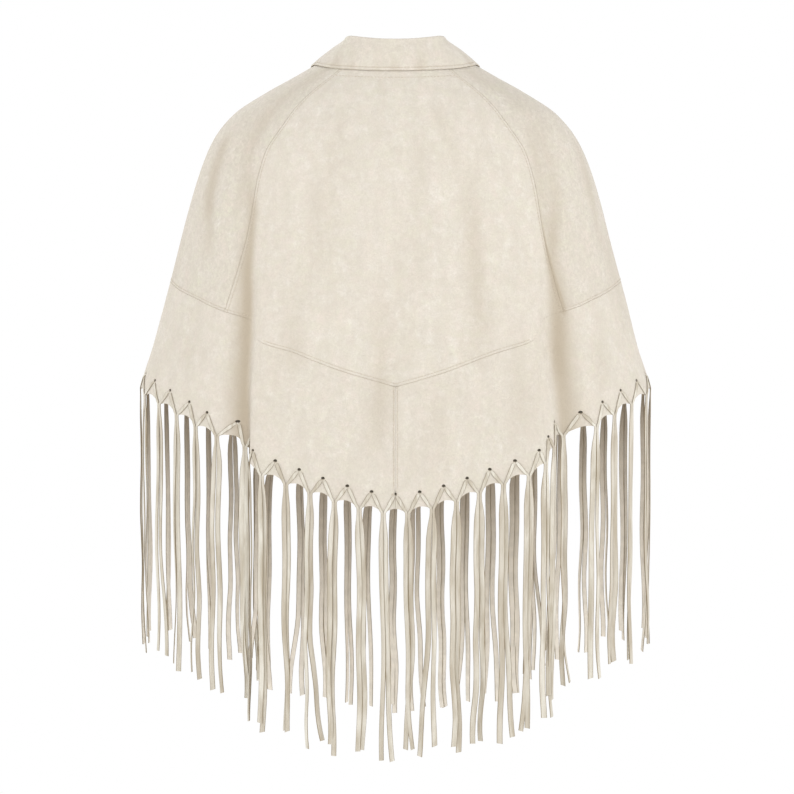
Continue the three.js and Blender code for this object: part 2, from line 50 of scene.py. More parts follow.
# The tables are in millimetres, as a pattern is drawn; meshes are made in metres.
MM = 0.001

# The reference girth that places every seam: half width and half depth of the hem.
GIRTH_HALF_WIDTH = 331
GIRTH_HALF_DEPTH = 153

# Level sections of the garment, hem to neck.
SECTIONS = {
    "z": [-620, -424, -362, -300, -237, -175, -128, -97, -65, -34, -18, 0, 14, 30],
    "width": [342, 332, 314, 298, 281, 264, 249, 235, 209, 162, 133, 101, 72, 50],
    "back": [168, 153, 147, 141, 134, 127, 119, 110, 98, 83, 73, 62, 52, 42],
    "front": [162, 150, 145, 139, 130, 114, 97, 80, 63, 54, 50, 43, 36, 28],
}

# Stations round one side: 0 at the centre back, 1 at the side, 2 at the centre front.
BACK_HOLES = [
    0, 0.0735, 0.147, 0.222, 0.297, 0.373, 0.443,
    0.483, 0.527, 0.612, 0.69, 0.782, 0.872, 0.96,
]
FRONT_HOLES = [
    1.04, 1.128, 1.218, 1.31, 1.388, 1.473, 1.517,
    1.557, 1.638, 1.719, 1.801, 1.882, 1.963,
]
HOLES = BACK_HOLES + FRONT_HOLES
LAST_HOLE = len(HOLES) - 1
CENTRE_FRONT = 2.0

# Heights along the stations
NECK_LINE = {
    "at": [0, 0.1, 0.45, 0.9, 1.05, 1.3, 1.55, 1.8, 2],
    "z": [0, 0.3, 6, 14, 13, -3, -30, -58, -70],
}
V_SEAM = {
    "at": [0, 0.17, 0.341, 0.462, 0.513, 0.612, 0.93, 1],
    "z": [-409, -390, -367, -352, -330, -316, -284, -279],
}
HOLE_LINE = {
    "at": [0, 0.02, 0.075, 0.15, 0.3, 0.443, 0.527, 0.612, 0.7, 0.79, 0.9, 1],
    "z": [-543.5, -543.4, -540.5, -533, -513, -490, -455, -444, -430, -417, -404, -396],
}
STRAND_TIPS = {
    "at": [0, 0.15, 0.3, 0.443, 0.527, 0.7, 0.87, 1],
    "z": [-873, -870, -857, -834, -800, -778, -758, -748],
}
FRONT_SHORTER = 10

# Stations of the slanting shoulder seams and of the neck slit, by height
BACK_SHOULDER_SEAM = {
    "z": [-316, -254, -212, -160, -114, -80, -46, -10, 10],
    "at": [0.612, 0.597, 0.586, 0.58, 0.575, 0.548, 0.528, 0.456, 0.41],
}
BACK_SEAM_FOOT = BACK_SHOULDER_SEAM["at"][0]
FRONT_SHOULDER_SEAM = {
    "z": [-316, -254, -160, -114, -80, -46, -10],
    "at": [1.388, 1.403, 1.42, 1.43, 1.45, 1.475, 1.5],
}
FRONT_SEAM_FOOT = FRONT_SHOULDER_SEAM["at"][0]
NECK_SLIT = {
    "z": [-420, -256, -220, -160, -100, -66, -40],
    "at": [2, 2, 1.992, 1.974, 1.945, 1.917, 1.9],
}

# Folds that fall from the shoulders: station at three heights, where it starts, depth inward,
# and half widths at the hem before and after the line.
# side: 1 for the wearer's left, -1 for the right, 0 for both.
FOLD_COLUMNS = ("side", "high", "middle", "low", "start", "depth", "before", "after")
FOLDS = [
    (1, 0.6, 0.524, 0.48, -150, 15, 12, 14),
    (-1, 0.62, 0.555, 0.573, -150, 14, 15, 17),
    (0, 0.56, 0.474, 0.43, -190, -6, 20, 17),
    (1, 0.69, 0.61, 0.57, -240, -4, 20, 24),
    (-1, 0.7, 0.63, 0.65, -240, -4.5, 20, 22),
    (-1, 0.22, 0.26, 0.28, -180, 4, 26, 26),
    (1, 0.1, 0.05, 0.06, -330, 4, 24, 24),
    (0, 0.86, 0.83, 0.81, -200, 4, 26, 26),
    (0, 1.4, 1.48, 1.504, -150, 20, 19, 12),
    (0, 1.45, 1.532, 1.56, -190, -9, 20, 22),
    (0, 1.2, 1.19, 1.18, -210, 4, 28, 28),
    (1, 1.78, 1.75, 1.74, -260, 4, 26, 26),
]
FOLD_MIDDLE = -340
FOLD_LOW = -560

# Soft creases: station and height of the middle, length, lean from upright in degrees,
# half width, and depth inward.
CREASE_COLUMNS = ("at", "z", "length", "lean", "reach", "depth")
CREASES = [
    (0.66, -120, 150, 6, 15, 2.6),
    (0.72, -200, 130, -4, 18, -1.8),
    (0.8, -150, 110, 8, 14, 1.6),
    (-0.68, -140, 120, -7, 14, 1.8),
    (-0.78, -210, 130, 5, 18, -1.6),
    (-0.3, -260, 190, 2, 16, 1.8),
    (-0.38, -220, 150, -3, 20, -1.4),
    (0.06, -440, 120, -5, 15, 1.2),
    (-0.14, -470, 110, 6, 18, 1.3),
    (0.24, -450, 120, 9, 16, -1.3),
    (0.3, -200, 200, -4, 24, 1.2),
    (0.16, -120, 160, 4, 22, -1.0),
    (-0.1, -180, 180, -2, 24, 1.0),
    (-0.24, -90, 90, 14, 13, 1.0),
    (0.26, -80, 80, -16, 12, 1.1),
    (0.36, -330, 120, 7, 15, 1.5),
    (-0.4, -400, 130, -8, 15, 1.4),
    (0.74, -340, 120, 5, 16, 1.6),
    (-0.72, -350, 120, -6, 15, 1.7),
    (0.93, -250, 150, 3, 18, 1.5),
    (-0.92, -280, 150, -4, 18, 1.5),
    (1.12, -180, 150, 4, 16, 1.8),
    (-1.1, -200, 160, -3, 18, 1.6),
    (1.3, -260, 170, -5, 18, 1.8),
    (-1.32, -240, 150, 6, 16, 1.8),
    (1.6, -200, 160, 7, 18, 1.6),
    (-1.62, -230, 170, -6, 17, 1.7),
    (1.7, -330, 150, -4, 20, -1.4),
    (-1.74, -360, 150, 4, 18, 1.5),
    (1.84, -420, 120, 3, 16, 1.4),
    (-1.86, -170, 120, -8, 15, 1.2),
    (1.36, -420, 110, 4, 15, 1.3),
    (-1.4, -410, 110, -5, 15, 1.3),
]

# Painted shade in the fold valleys and creases, a patch by the collar on each shoulder and along the
# right shoulder seam: stations and darkness by height, and half widths before and after the line.
# side is read as in the folds.
PAINTED_SHADES = [
    {
        "side": 1, "before": 9, "after": 12,
        "z": [-130, -161, -193, -257, -297, -354, -417, -560],
        "at": [0.608, 0.6, 0.572, 0.566, 0.55, 0.533, 0.518, 0.492],
        "dark": [0, 0.35, 0.7, 0.95, 1, 1, 1, 1],
    },
    {
        "side": -1, "before": 10, "after": 13,
        "z": [-130, -162, -212, -263, -297, -354, -386, -417, -560],
        "at": [0.64, 0.67, 0.633, 0.6, 0.598, 0.583, 0.576, 0.574, 0.582],
        "dark": [0, 0.2, 0.5, 0.7, 0.85, 0.95, 0.95, 0.85, 0.8],
    },
    {
        "side": 1, "before": 11, "after": 13, "z": [-80, -110, -162, -213, -260],
        "at": [0.835, 0.831, 0.818, 0.754, 0.73], "dark": [0, 0.45, 0.45, 0.35, 0],
    },
    {
        "side": -1, "before": 12, "after": 10, "z": [-90, -120, -170, -210, -250],
        "at": [0.9, 0.9, 0.885, 0.87, 0.86], "dark": [0, 0.3, 0.32, 0.22, 0],
    },
    {
        "side": -1, "before": 9, "after": 12, "z": [-70, -110, -161, -206, -240],
        "at": [0.64, 0.623, 0.6, 0.6, 0.6], "dark": [0, 0.3, 0.3, 0.3, 0],
    },
    {
        "side": 1, "before": 16, "after": 12, "z": [-290, -337, -390, -440, -500],
        "at": [0.055, 0.052, 0.05, 0.05, 0.06], "dark": [0, 0.2, 0.22, 0.2, 0],
    },
    {
        "side": -1, "before": 14, "after": 16, "z": [-170, -218, -290, -350, -400],
        "at": [0.31, 0.3, 0.285, 0.272, 0.27], "dark": [0, 0.16, 0.14, 0.2, 0],
    },
    {
        "side": 0, "before": 34, "after": 44, "z": [20, -8, -30, -60, -110],
        "at": [0.6, 0.62, 0.66, 0.7, 0.72], "dark": [0.1, 0.24, 0.22, 0.12, 0],
    },
    {
        "side": -1, "before": 2.4, "after": 2.2, "z": [-170, -225, -254, -308, -322],
        "at": [0.581, 0.589, 0.597, 0.612, 0.614], "dark": [0, 0.6, 1.1, 1.1, 0],
    },
    {
        "side": 0, "before": 15, "after": 11, "z": [-130, -200, -297, -354, -560],
        "at": [1.392, 1.43, 1.447, 1.46, 1.472], "dark": [0, 0.5, 0.8, 0.8, 0.8],
    },
]

# Stretches of the V seam inside the deep folds, where brushed nap covers it
SEAM_HIDDEN = [
    {"side": 1, "first": 0.441, "last": 0.547},
    {"side": -1, "first": 0.445, "last": 0.614},
]
SEAM_FADE = 0.012

# Laced hem: the edge is cut in lobes that hang between the holes.
ARCH_DROP = 18
LOBE_DROP = 24
HOLE_HALF_WIDTH = 2.4
HOLE_HALF_HEIGHT = 2.3
# The rim lies in the middle of the suede's thickness.
RIM_LIFT = -0.75
# The suede dips round each hole and is pressed there: how far, and how wide.
HOLE_DIP = 0.7
HOLE_DIP_REACH = 4.5
HOLE_PRESS = 0.5
HOLE_PRESS_REACH = 3.2
# Height of a lower panel from its V seam to its holes, and the part of it that even cells fill
LOWER_HEIGHT = 125
LOWER_EVEN = 120
# Least station between two columns of its mesh, beside the front seam and beside a hole
SEAM_CLEAR = 0.002
HOLE_CLEAR = 0.0012
# Rows under the holes, as shares of the way to the hem edge. The first passes each hole's rim.
HEM_ROWS = [HOLE_HALF_HEIGHT / ARCH_DROP, 0.27, 0.42, 0.58, 0.75, 0.9, 1.0]

# Thongs: flat, one folded through each hole
LACE_THICKNESS = 1.2
LACE_LIFT = 0.1
LACE_HALF = 2.5
KNOT_HALF = 3.4
KNOT_DROP = 6
STRAND_HALF = 3.4
STRAND_APART = 0.35
# The middle of a thong's thickness over the cloth
LACE_MIDDLE = LACE_LIFT + LACE_THICKNESS / 2

# A thong's end behind the cloth, over its hole: rise, lift and half width at four points
TUCK_RISE = np.array([4.6, 3.4, 1.8, 0.5])
TUCK_LIFT = np.array([-2.9, -3.0, -3.0, -2.6])
TUCK_HALF = np.array([2.9, 2.6, 2.0, 1.4])
# Points of its leg, as shares of the way from the hole to the lobe, and of its hanging end
LEG_SHARES = np.array([0, 0.06, 0.14, 0.28, 0.46, 0.66, 0.85])
HANG_SHARES = np.array([0.012, 0.05, 0.1, 0.18, 0.28, 0.38, 0.48, 0.58, 0.68, 0.78, 0.88, 0.95, 1.0])
# It comes out of the hole beside the middle and under it, and is thinner on the rim.
HOLE_ASIDE = 0.9
HOLE_UNDER = 1.2
HOLE_LIFT = -1.5
RIM_THICKNESS = 0.8
# Share of the leg at which it lies on the cloth, its half width in the hole, how fast it spreads
# out from there, and the share from which it is gathered for the bunch
LEG_LANDS = 0.16
LEG_START_HALF = 1.0
LEG_SPREADS = 0.36
LEG_GATHERS = 0.45
# How far the two ends of a bunch may lap, at the back and the front, and the lap at which they
# turn as one
LAP_BACK = 1.7
LAP_FRONT = 2.8
LAP_AS_ONE = 1.6
# Drops below the lobe over which the painted shade under the knot and the painted shade on the flesh
# side fade
KNOT_SHADE_FADE = 16
FLESH_SHADE_FADE = 120
# Its mesh has as many rings down to the first length as below it. Up to the second length it is
# folded through the hole.
FINE_LENGTH = 55
TUCK_LENGTH = 5.5
THONG_RINGS = 26

# What sets one hanging end apart: number of its scatter, 1 where the two ends of a bunch differ
# or 0 where they share it, least value and range
TRAITS = {
    "tip": (5, 1, -9, 18),
    "spread": (37, 1, -4.2, 10),
    "width": (89, 1, 0.87, 0.26),
    "splay": (101, 1, -1, 2),
    "turn": (23, 1, -0.55, 1.1),
    "turn_share": (53, 1, 1, 1.1),
    "phase": (47, 1, 0, 6.28),
    "cup": (61, 1, -0.95, 1.9),
    "slant": (67, 1, -1.2, 2.4),
    "shade": (83, 1, 0, 1),
    "lean": (11, 0, -2.5, 5),
    "bow": (17, 0, -2.5, 5),
    "outward": (29, 0, -2.5, 5),
    "pace": (41, 0, 1.3, 1.6),
    "bunch_phase": (43, 0, 0, 6.28),
    "bunch_turn": (59, 0, -0.95, 1.9),
    "lap": (71, 0, 0, 1),
    "shift": (97, 0, 1, 6),
}
SPLAY = 15

# Collar: stand height, and the leaf's edge on the garment, round one side
STAND = {
    "at": [0, 0.15, 0.45, 0.55, 0.62, 0.7, 0.85, 1.1, 1.3, 1.6, 2],
    "height": [28.7, 28.7, 27.3, 25.2, 22.8, 20.4, 17.6, 15.4, 15, 16, 16.6],
    "lean": [4, 4, 7, 7.6, 8.3, 9.3, 10.4, 13, 13, 6, 0],
}
LEAF_EDGE = {
    "part": [0, 0.05, 0.25, 0.5, 0.62, 0.72, 0.86, 1],
    "at": [0, 0.085, 0.42, 0.93, 1.12, 1.28, 1.48, 1.735],
    "z": [-11.5, -11.4, -9, -2.5, -8, -25, -60, -98],
}
LEAF_FRONT = 1.9
LEAF_LIFT = 0.7
LEAF_ROLL = [(-0.2, -1.6), (0.2, 0.6), (2.4, 1.8), (5, 0.8)]
LEAF_TURN = 4
# Rows up the stand as shares, how far it lies in from the neckline, over its seam and under the
# leaf's fold, and its cut height in metres
STAND_SHARES = [0, 0.03, 0.08, 0.2, 0.35, 0.5, 0.65, 0.8, 0.9, 1.0]
STAND_INSET = 0.2
STAND_OVER_SEAM = 0.5
STAND_UNDER_FOLD = 2.2
STAND_CUT = 0.031
# How the leaf's long edge and its two front edges are pressed: distance and sink
LEAF_EDGE_PRESS = [
    (0, 1.0), (0.7, 0.25), (1.6, -0.15), (2.8, -0.05), (4.0, 0.42), (5.2, 0.05), (7.0, 0),
]
LEAF_END_PRESS = [(0, 0.9), (0.7, 0.2), (1.6, -0.1), (2.8, 0), (4.0, 0.4), (5.2, 0.05), (7.0, 0)]
# Length of half a leaf that the second press is scaled to, and the one that its ripples run on
LEAF_END_SCALE = 620
LEAF_RIPPLE_RUN = 380
LEAF_BULGE = 2.0
# Even rows of the leaf before its pressed edge, columns of the leaf and the stand, the row that the
# leaf's stitches follow from each edge, and the first row past the fold that they reach
LEAF_ROWS = 34
LEAF_COLUMNS = 201
STAND_COLUMNS = 161
LEAF_LINE = 4
LEAF_SEWN_FROM = 14

# How an edge is pressed: distance from the seam and how far the face sinks there.
PLAIN_EDGE = [(0, 0.5), (0.6, 0.12), (1.6, -0.05), (2.8, -0.1), (4.4, 0)]
SEWN_EDGE = [(0, 0.5), (0.6, 0.1), (1.6, -0.25), (2.8, -0.2), (3.9, 0.2), (5, 0.02), (6.8, 0)]
TWIN_EDGE = [(0, 0.3), (0.6, 0.08), (1.3, -0.1), (2.3, 0.3), (3.4, 0.02), (5, 0)]
RAW_EDGE = [(0, 0.0), (2, 0), (4.4, 0)]
SEWN_LINE = 4
TWIN_LINE = 3
# Sink of a face that is fully pressed, and the most that a face may sink
FULL_PRESS = 0.9
MOST_SINK = 0.95
# How far the painted shade of a valley takes the place of its press: the press fades where that shade
# lies
VALLEY_HIDES = 0.7
# Height of the stitches' middle over the face
STITCH_LIFT = 0.18
# How much the nap of each kind of piece is worn
WORN = {"shoulder": 1, "upper": 0.1, "lower": 0.35, "collar_leaf": 0.7, "collar_stand": 0}

# A second row holds the collar seam's allowance, just under the leaf: how far round it goes,
# how far below the leaf's edge and how far over the cloth.
UNDER_COLLAR_END = 0.43
UNDER_COLLAR_DROP = 7.5
UNDER_COLLAR_LIFT = 0.12

# Factors that keep the level part of a direction
LEVEL = np.array([1, 1, 0])

# Stitch rows that the pieces leave for the sewing, by name
stitch_rows = {}


def read(table, key, value, position):
    """Reads one value from a table in sorted order, smoothly."""
    keys = np.array(table[key], float)
    values = np.array(table[value], float)
    if keys[0] > keys[-1]:
        keys, values = keys[::-1], values[::-1]
    steps = np.diff(values) / np.diff(keys)
    slopes = np.zeros(len(keys))
    slopes[[0, -1]] = steps[[0, -1]]
    before, after = steps[:-1], steps[1:]
    alike = before * after > 0
    total = np.where(alike, before + after, 1.0)
    slopes[1:-1] = np.where(alike, 2 * before * after / total, 0)
    position = np.clip(position, keys[0], keys[-1])
    i = np.clip(np.searchsorted(keys, position, side="right") - 1, 0, len(keys) - 2)
    span = keys[i + 1] - keys[i]
    t = (position - keys[i]) / span
    t2, t3 = t * t, t * t * t
    start = values[i] * (2 * t3 - 3 * t2 + 1) + slopes[i] * span * (t3 - 2 * t2 + t)
    return start + values[i + 1] * (3 * t2 - 2 * t3) + slopes[i + 1] * span * (t3 - t2)


def mix(a, b, t):
    """Value that lies between two, at a share of the way."""
    return a + (b - a) * t


def ease(t):
    """Share that starts and ends gently."""
    return t * t * (3 - 2 * t)


def back_front(at):
    """The back's station that lies opposite a station of the front."""
    at = np.abs(at)
    return np.where(at > 1, 2 - at, at)


def v_seam(at):
    return read(V_SEAM, "at", "z", back_front(at))


def hole_line(at):
    return read(HOLE_LINE, "at", "z", back_front(at))


def neck_line(at):
    return read(NECK_LINE, "at", "z", np.abs(at))


def strand_tip(at):
    """Height of the fringe's tips at a station."""
    return read(STRAND_TIPS, "at", "z", back_front(at)) + (FRONT_SHORTER if abs(at) > 1 else 0)


def quarter_lengths(steps=400):
    """Turns of the reference girth and the length along it at each, for one quarter."""
    turns = (np.arange(steps) + 0.5) / steps * math.pi / 2
    speed = np.hypot(GIRTH_HALF_WIDTH * np.cos(turns), GIRTH_HALF_DEPTH * np.sin(turns))
    lengths = np.concatenate([[0], np.cumsum(speed) * math.pi / 2 / steps])
    return np.linspace(0, math.pi / 2, steps + 1), lengths


QUARTER_TURNS, QUARTER_LENGTHS = quarter_lengths()
QUARTER = QUARTER_LENGTHS[-1]


def bearing_at(station):
    """Bearing of a station seen from above, 0 at the centre back."""
    at = np.abs(station)
    folded = np.where(at > 1, 2 - at, at)
    turn = np.sign(folded) * np.interp(np.abs(folded) * QUARTER, QUARTER_LENGTHS, QUARTER_TURNS)
    polar = np.arctan2(GIRTH_HALF_WIDTH * np.sin(turn), GIRTH_HALF_DEPTH * np.cos(turn))
    return np.where(station < 0, -1, 1) * np.where(at > 1, math.pi - polar, polar)


def fold_depth(station, z):
    """How far the large folds take the cloth inward."""
    depth = np.zeros(np.broadcast(station, z).shape)
    side = np.where(station < 0, -1, 1)
    at = np.abs(station)
    for row in FOLDS:
        fold = dict(zip(FOLD_COLUMNS, row))
        down = np.clip((fold["start"] - z) / (fold["start"] - FOLD_LOW), 0, 1)
        above = np.clip((z - FOLD_MIDDLE) / (fold["start"] - FOLD_MIDDLE), 0, 1)
        below = np.clip((FOLD_MIDDLE - z) / (FOLD_MIDDLE - FOLD_LOW), 0, 1)
        line = np.where(
            z > FOLD_MIDDLE,
            mix(fold["middle"], fold["high"], above),
            mix(fold["middle"], fold["low"], below),
        )
        off = (at - line) * QUARTER / mix(1.6, 1, ease(down))
        off = off / np.where(off < 0, fold["before"], fold["after"])
        here = (fold["side"] == 0) | (fold["side"] == side)
        full = 1 - (1 - down) ** 1.9
        depth += np.where(here, fold["depth"] * full * np.exp(-off * off), 0)
    return depth


def crease_depth(station, z):
    """Soft creases and the slow unevenness of hanging suede."""
    along = station * QUARTER
    depth = 0.35 * np.sin(along / 31 + np.sin(z / 83) * 1.7 + 0.6)
    depth = depth + 0.3 * np.sin(along / 17.3 + z / 61 + np.sin(z / 47 + 2) * 1.2)
    depth = depth + 0.22 * np.sin(z / 23.7 + np.sin(along / 29) * 1.9)
    for row in CREASES:
        crease = dict(zip(CREASE_COLUMNS, row))
        lean = math.radians(crease["lean"])
        across = along - crease["at"] * QUARTER
        up = z - crease["z"]
        side = across * math.cos(lean) - up * math.sin(lean)
        run = (across * math.sin(lean) + up * math.cos(lean)) / (crease["length"] / 2)
        depth = depth + crease["depth"] * np.exp(-((side / crease["reach"]) ** 2) - run**4)
    return depth


def cloth_point(station, z, creased=True):
    """Point of the outer face at a station and a height."""
    station, z = np.broadcast_arrays(np.asarray(station, float), np.asarray(z, float))
    bearing = bearing_at(station)
    width = read(SECTIONS, "z", "width", z)
    back, front = (read(SECTIONS, "z", half, z) for half in ("back", "front"))
    deep = np.where(np.cos(bearing) >= 0, back, front)
    radius = 1 / np.hypot(np.sin(bearing) / width, np.cos(bearing) / deep)
    radius = radius - fold_depth(station, z)
    if creased:
        calm = np.clip((10 - z) / 60, 0, 1)
        radius = radius - crease_depth(station, z) * calm
    return np.stack([radius * np.sin(bearing), radius * np.cos(bearing), z], -1)


def painted_shade_share(station, z):
    """Share of painted shade at a point, from 0 to 1: in the listed fold valleys and creases, and a
    little in every crease.
    """
    share = np.clip(crease_depth(station, z) / 9, 0, 0.3)
    for shade in PAINTED_SHADES:
        for side in (1, -1) if shade["side"] == 0 else (shade["side"],):
            off = (station * side - read(shade, "z", "at", z)) * QUARTER
            off = off / np.where(off < 0, shade["before"], shade["after"])
            share = share + read(shade, "z", "dark", z) * np.exp(-off * off)
    return np.clip(share, 0, 1)


def seam_show(station):
    """How far the V seam shows at a station, from 0 to 1."""
    show = np.ones(np.shape(station))
    for hidden in SEAM_HIDDEN:
        at = station * hidden["side"]
        start = np.clip((at - hidden["first"]) / SEAM_FADE, 0, 1)
        end = np.clip((hidden["last"] - at) / SEAM_FADE, 0, 1)
        show = show * (1 - start * end)
    return show


def unit(vectors):
    return vectors / np.linalg.norm(vectors, axis=-1, keepdims=True)


def cloth_normal(station, z, creased=True):
    """Direction straight out of the cloth."""
    round_ = cloth_point(station + 0.004, z, creased) - cloth_point(station - 0.004, z, creased)
    down = cloth_point(station, z - 1, creased) - cloth_point(station, z + 1, creased)
    return unit(np.cross(round_, down))


def on_cloth(station, z, lift):
    """Point over the cloth, or behind it where the lift is less than 0."""
    return cloth_point(station, z) + cloth_normal(station, z) * np.asarray(lift)[..., None]


def scatter(a, b):
    """Fixed scatter between 0 and 1."""
    value = math.sin(a * 127.1 + b * 311.7) * 43758.5453
    return value - math.floor(value)


def lengths_along(points, axis=0):
    """Length of each line of points along an axis."""
    return np.linalg.norm(np.diff(points, axis=axis), axis=-1).sum(axis)


def travelled(path):
    """Length of a path up to each of its points."""
    return np.concatenate([[0], np.cumsum(np.linalg.norm(np.diff(path, axis=0), axis=-1))])


# Meshes


def add_object(name, data):
    made = bpy.data.objects.new(name, data)
    bpy.context.scene.collection.objects.link(made)
    return made


def grid_faces(rows, columns):
    first = np.arange(rows * columns).reshape(rows, columns)
    corners = [first[:-1, :-1], first[:-1, 1:], first[1:, 1:], first[1:, :-1]]
    return np.stack(corners, -1).reshape(-1, 4)


def make_piece(name, points, faces, materials, marks=None, kinds=None):
    """Makes a mesh object from points in millimetres, with a value a point for each mark."""
    mesh = bpy.data.meshes.new(name)
    mesh.from_pydata((np.asarray(points) * MM).tolist(), [], [list(f) for f in faces])
    for material in materials:
        mesh.materials.append(material)
    for mark, values in (marks or {}).items():
        layer = mesh.attributes.new(mark, "FLOAT", "POINT")
        layer.data.foreach_set("value", np.asarray(values, np.float32).ravel())
    if kinds is not None:
        mesh.polygons.foreach_set("material_index", np.asarray(kinds, np.int32))
    mesh.validate()
    mesh.update()
    return add_object(name, mesh)


def plain_mesh(piece):
    """Turns a piece's modifiers into its plain mesh."""
    graph = bpy.context.evaluated_depsgraph_get()
    shaped = bpy.data.meshes.new_from_object(
        piece.evaluated_get(graph), preserve_all_data_layers=True, depsgraph=graph
    )
    drawn = piece.data
    piece.modifiers.clear()
    piece.data = shaped
    bpy.data.meshes.remove(drawn)
    shaped.name = piece.name
    return shaped


def bake(piece, angle=38):
    """Turns a piece's modifiers into its plain mesh, smooth but for edges sharper than an angle."""
    shaped = plain_mesh(piece)
    shaped.shade_smooth()
    shaped.set_sharp_from_angle(angle=math.radians(angle))
    return piece


def thicken(piece, wall):
    """Gives cloth its wall, inward from its outer face."""
    solid = piece.modifiers.new("Wall", "SOLIDIFY")
    solid.thickness = wall
    solid.offset = -1
    solid.use_quality_normals = True
    solid.use_even_offset = True
    solid.thickness_clamp = 1
    solid.material_offset = 1
    return bake(piece)


def sheet_area(grid):
    """Area of a grid of points in square metres."""
    across = grid[:-1, 1:] - grid[:-1, :-1]
    down = grid[1:, :-1] - grid[:-1, :-1]
    return float(np.linalg.norm(np.cross(across, down), axis=-1).sum() * MM * MM)


def settle(piece, node):
    """Puts a piece in place of its node, on the part's one body."""
    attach(piece, "root")
    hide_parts(node)


# Cloth pieces


def ruled(lengths, start, end, count):
    """Shares from 0 to 1 along lengths: the edge distances at both ends and even cells between."""
    lengths = np.atleast_1d(np.asarray(lengths, float))[:, None]
    start = np.array([row[0] for row in start], float)
    end = np.array([row[0] for row in end], float)[::-1]
    first = start[-1] / lengths
    last = 1 - end[0] / lengths
    middle = first + (last - first) * np.linspace(0, 1, count)
    return np.hstack([start[:-1] / lengths, middle, 1 - end[1:] / lengths])


def sinks(start, end, count):
    """How far a face sinks across: as its two edges say, and not at all between them."""
    first = [row[1] for row in start[:-1]]
    last = [row[1] for row in end[-2::-1]]
    return np.concatenate([first, np.zeros(count), last])


def pressed_share(start, end, count):
    """Where the seam or a stitch row presses the nap flat."""
    return np.clip(sinks(start, end, count) / FULL_PRESS, 0, 1)


def upper_grid(span, seams, edges, cell):
    """Grid of one upper piece between two seams, from the neckline to the V seam.

    span: first and last station. seams: station of each seam by height.
    edges: tables for the first seam, the last seam, the neckline and the V seam.
    """
    first_seam, last_seam = seams
    from_edge, to_edge, top_edge, bottom_edge = edges

    def place(part, down):
        # The seams lean, so a point's station and height settle together in a few rounds.
        at = mix(span[0], span[1], part)
        for _ in range(14):
            z = mix(neck_line(at), v_seam(at), down)
            at = mix(first_seam(z), last_seam(z), part)
        return at, z

    coarse_part, coarse_down = np.meshgrid(np.linspace(0, 1, 40), np.linspace(0, 1, 40) ** 1.3)
    at, z = place(coarse_part, coarse_down)
    coarse = cloth_point(at, z, False)
    height = lengths_along(coarse).mean()
    lengths = lengths_along(coarse, 1)
    rows = int((height - 10) / cell)
    down = ruled(height, top_edge, bottom_edge, rows)[0]
    widths = np.interp(down, coarse_down[:, 0], lengths)
    columns = int(widths.max() / cell)
    part = ruled(widths, from_edge, to_edge, columns)
    at, z = place(part, np.repeat(down[:, None], part.shape[1], 1))
    show = np.where(down[:, None] > 0.5, seam_show(at), 1)
    sink = sinks(top_edge, bottom_edge, rows)[:, None] * show
    sink = sink + sinks(from_edge, to_edge, columns)[None, :]
    pressed = np.maximum(
        pressed_share(top_edge, bottom_edge, rows)[:, None] * show,
        pressed_share(from_edge, to_edge, columns)[None, :],
    )
    return at, z, np.minimum(sink, MOST_SINK), pressed


def seam_gap_shift(grid, gap, sides):
    """Draws the borders of a grid in by half the seam gap. sides: first, last, top, bottom."""
    moved = grid.copy()
    rows = slice(None)
    borders = [((rows, 0), (rows, 1)), ((rows, -1), (rows, -2)), (0, 1), (-1, -2)]
    for drawn, (border, inner) in zip(sides, borders):
        if drawn:
            moved[border] += unit(grid[inner] - grid[border]) * (gap / 2)
    return moved


def pucker(station, z, sink):
    """Small puckers where sewing draws the suede together."""
    along = station * QUARTER * 0.9 + z
    wave = np.sin(along / 2.1 + np.sin(along / 9.0) * 2.0) * 0.5 + np.sin(along / 3.4 + 1.3) * 0.5
    return sink + 0.12 * wave * np.clip(np.abs(sink) * 2, 0, 1)


def sew_along(name, points, lift, shown=None):
    """Keeps a row for the stitching, in the runs that show: points on the cloth in millimetres."""
    points = np.asarray(points) + np.asarray(lift)
    shown = np.ones(len(points), bool) if shown is None else shown
    turns = np.flatnonzero(np.diff(shown.astype(int))) + 1
    for number, run in enumerate(np.split(np.arange(len(points)), turns)):
        if shown[run[0]] and len(run) > 3:
            stitch_rows[f"{name}_{number}"] = points[run]


def upper_piece(name, span, seams, edges, rows_to_sew):
    """Makes one upper piece, and leaves the rows that are sewn on it."""
    cloth = bpy.context.scene.poncho_cloth
    at, z, sink, pressed = upper_grid(span, seams, edges, cloth.cell / MM)
    normal = cloth_normal(at, z)
    grid = cloth_point(at, z) - normal * pucker(at, z, sink)[..., None]
    grid = seam_gap_shift(grid, cloth.seam_gap / MM, (True, True, True, True))
    for row_name, index in rows_to_sew.items():
        shown = seam_show(at[index]) > 0.5 if row_name == "v_seam" else None
        sew_along(f"{name}_{row_name}", grid[index], normal[index] * STITCH_LIFT, shown)
    faces = grid_faces(*at.shape)
    if span[1] > span[0]:
        faces = faces[:, ::-1]
    # Painted shade of the fold valleys and creases, as a mark on the points
    painted_shade_and_tone = painted_shade_share(at, z)
    marks = {"pressed": pressed * (1 - VALLEY_HIDES * painted_shade_and_tone), "painted_shade_and_tone": painted_shade_and_tone}
    piece = cloth_piece(name, grid.reshape(-1, 3), faces, marks)
    declare_grid(piece, grid)


def cloth_piece(name, points, faces, marks):
    """A piece of suede in place of its node, worn as its kind is."""
    worn = np.full(len(points), next(WORN[kind] for kind in WORN if name.startswith(kind)))
    piece = make_piece(f"{name}_suede", points, faces, cloth_materials(), {**marks, "worn": worn})
    face_outward(piece)
    thicken(piece, bpy.context.scene.poncho_cloth.wall)
    settle(piece, name)
    return piece


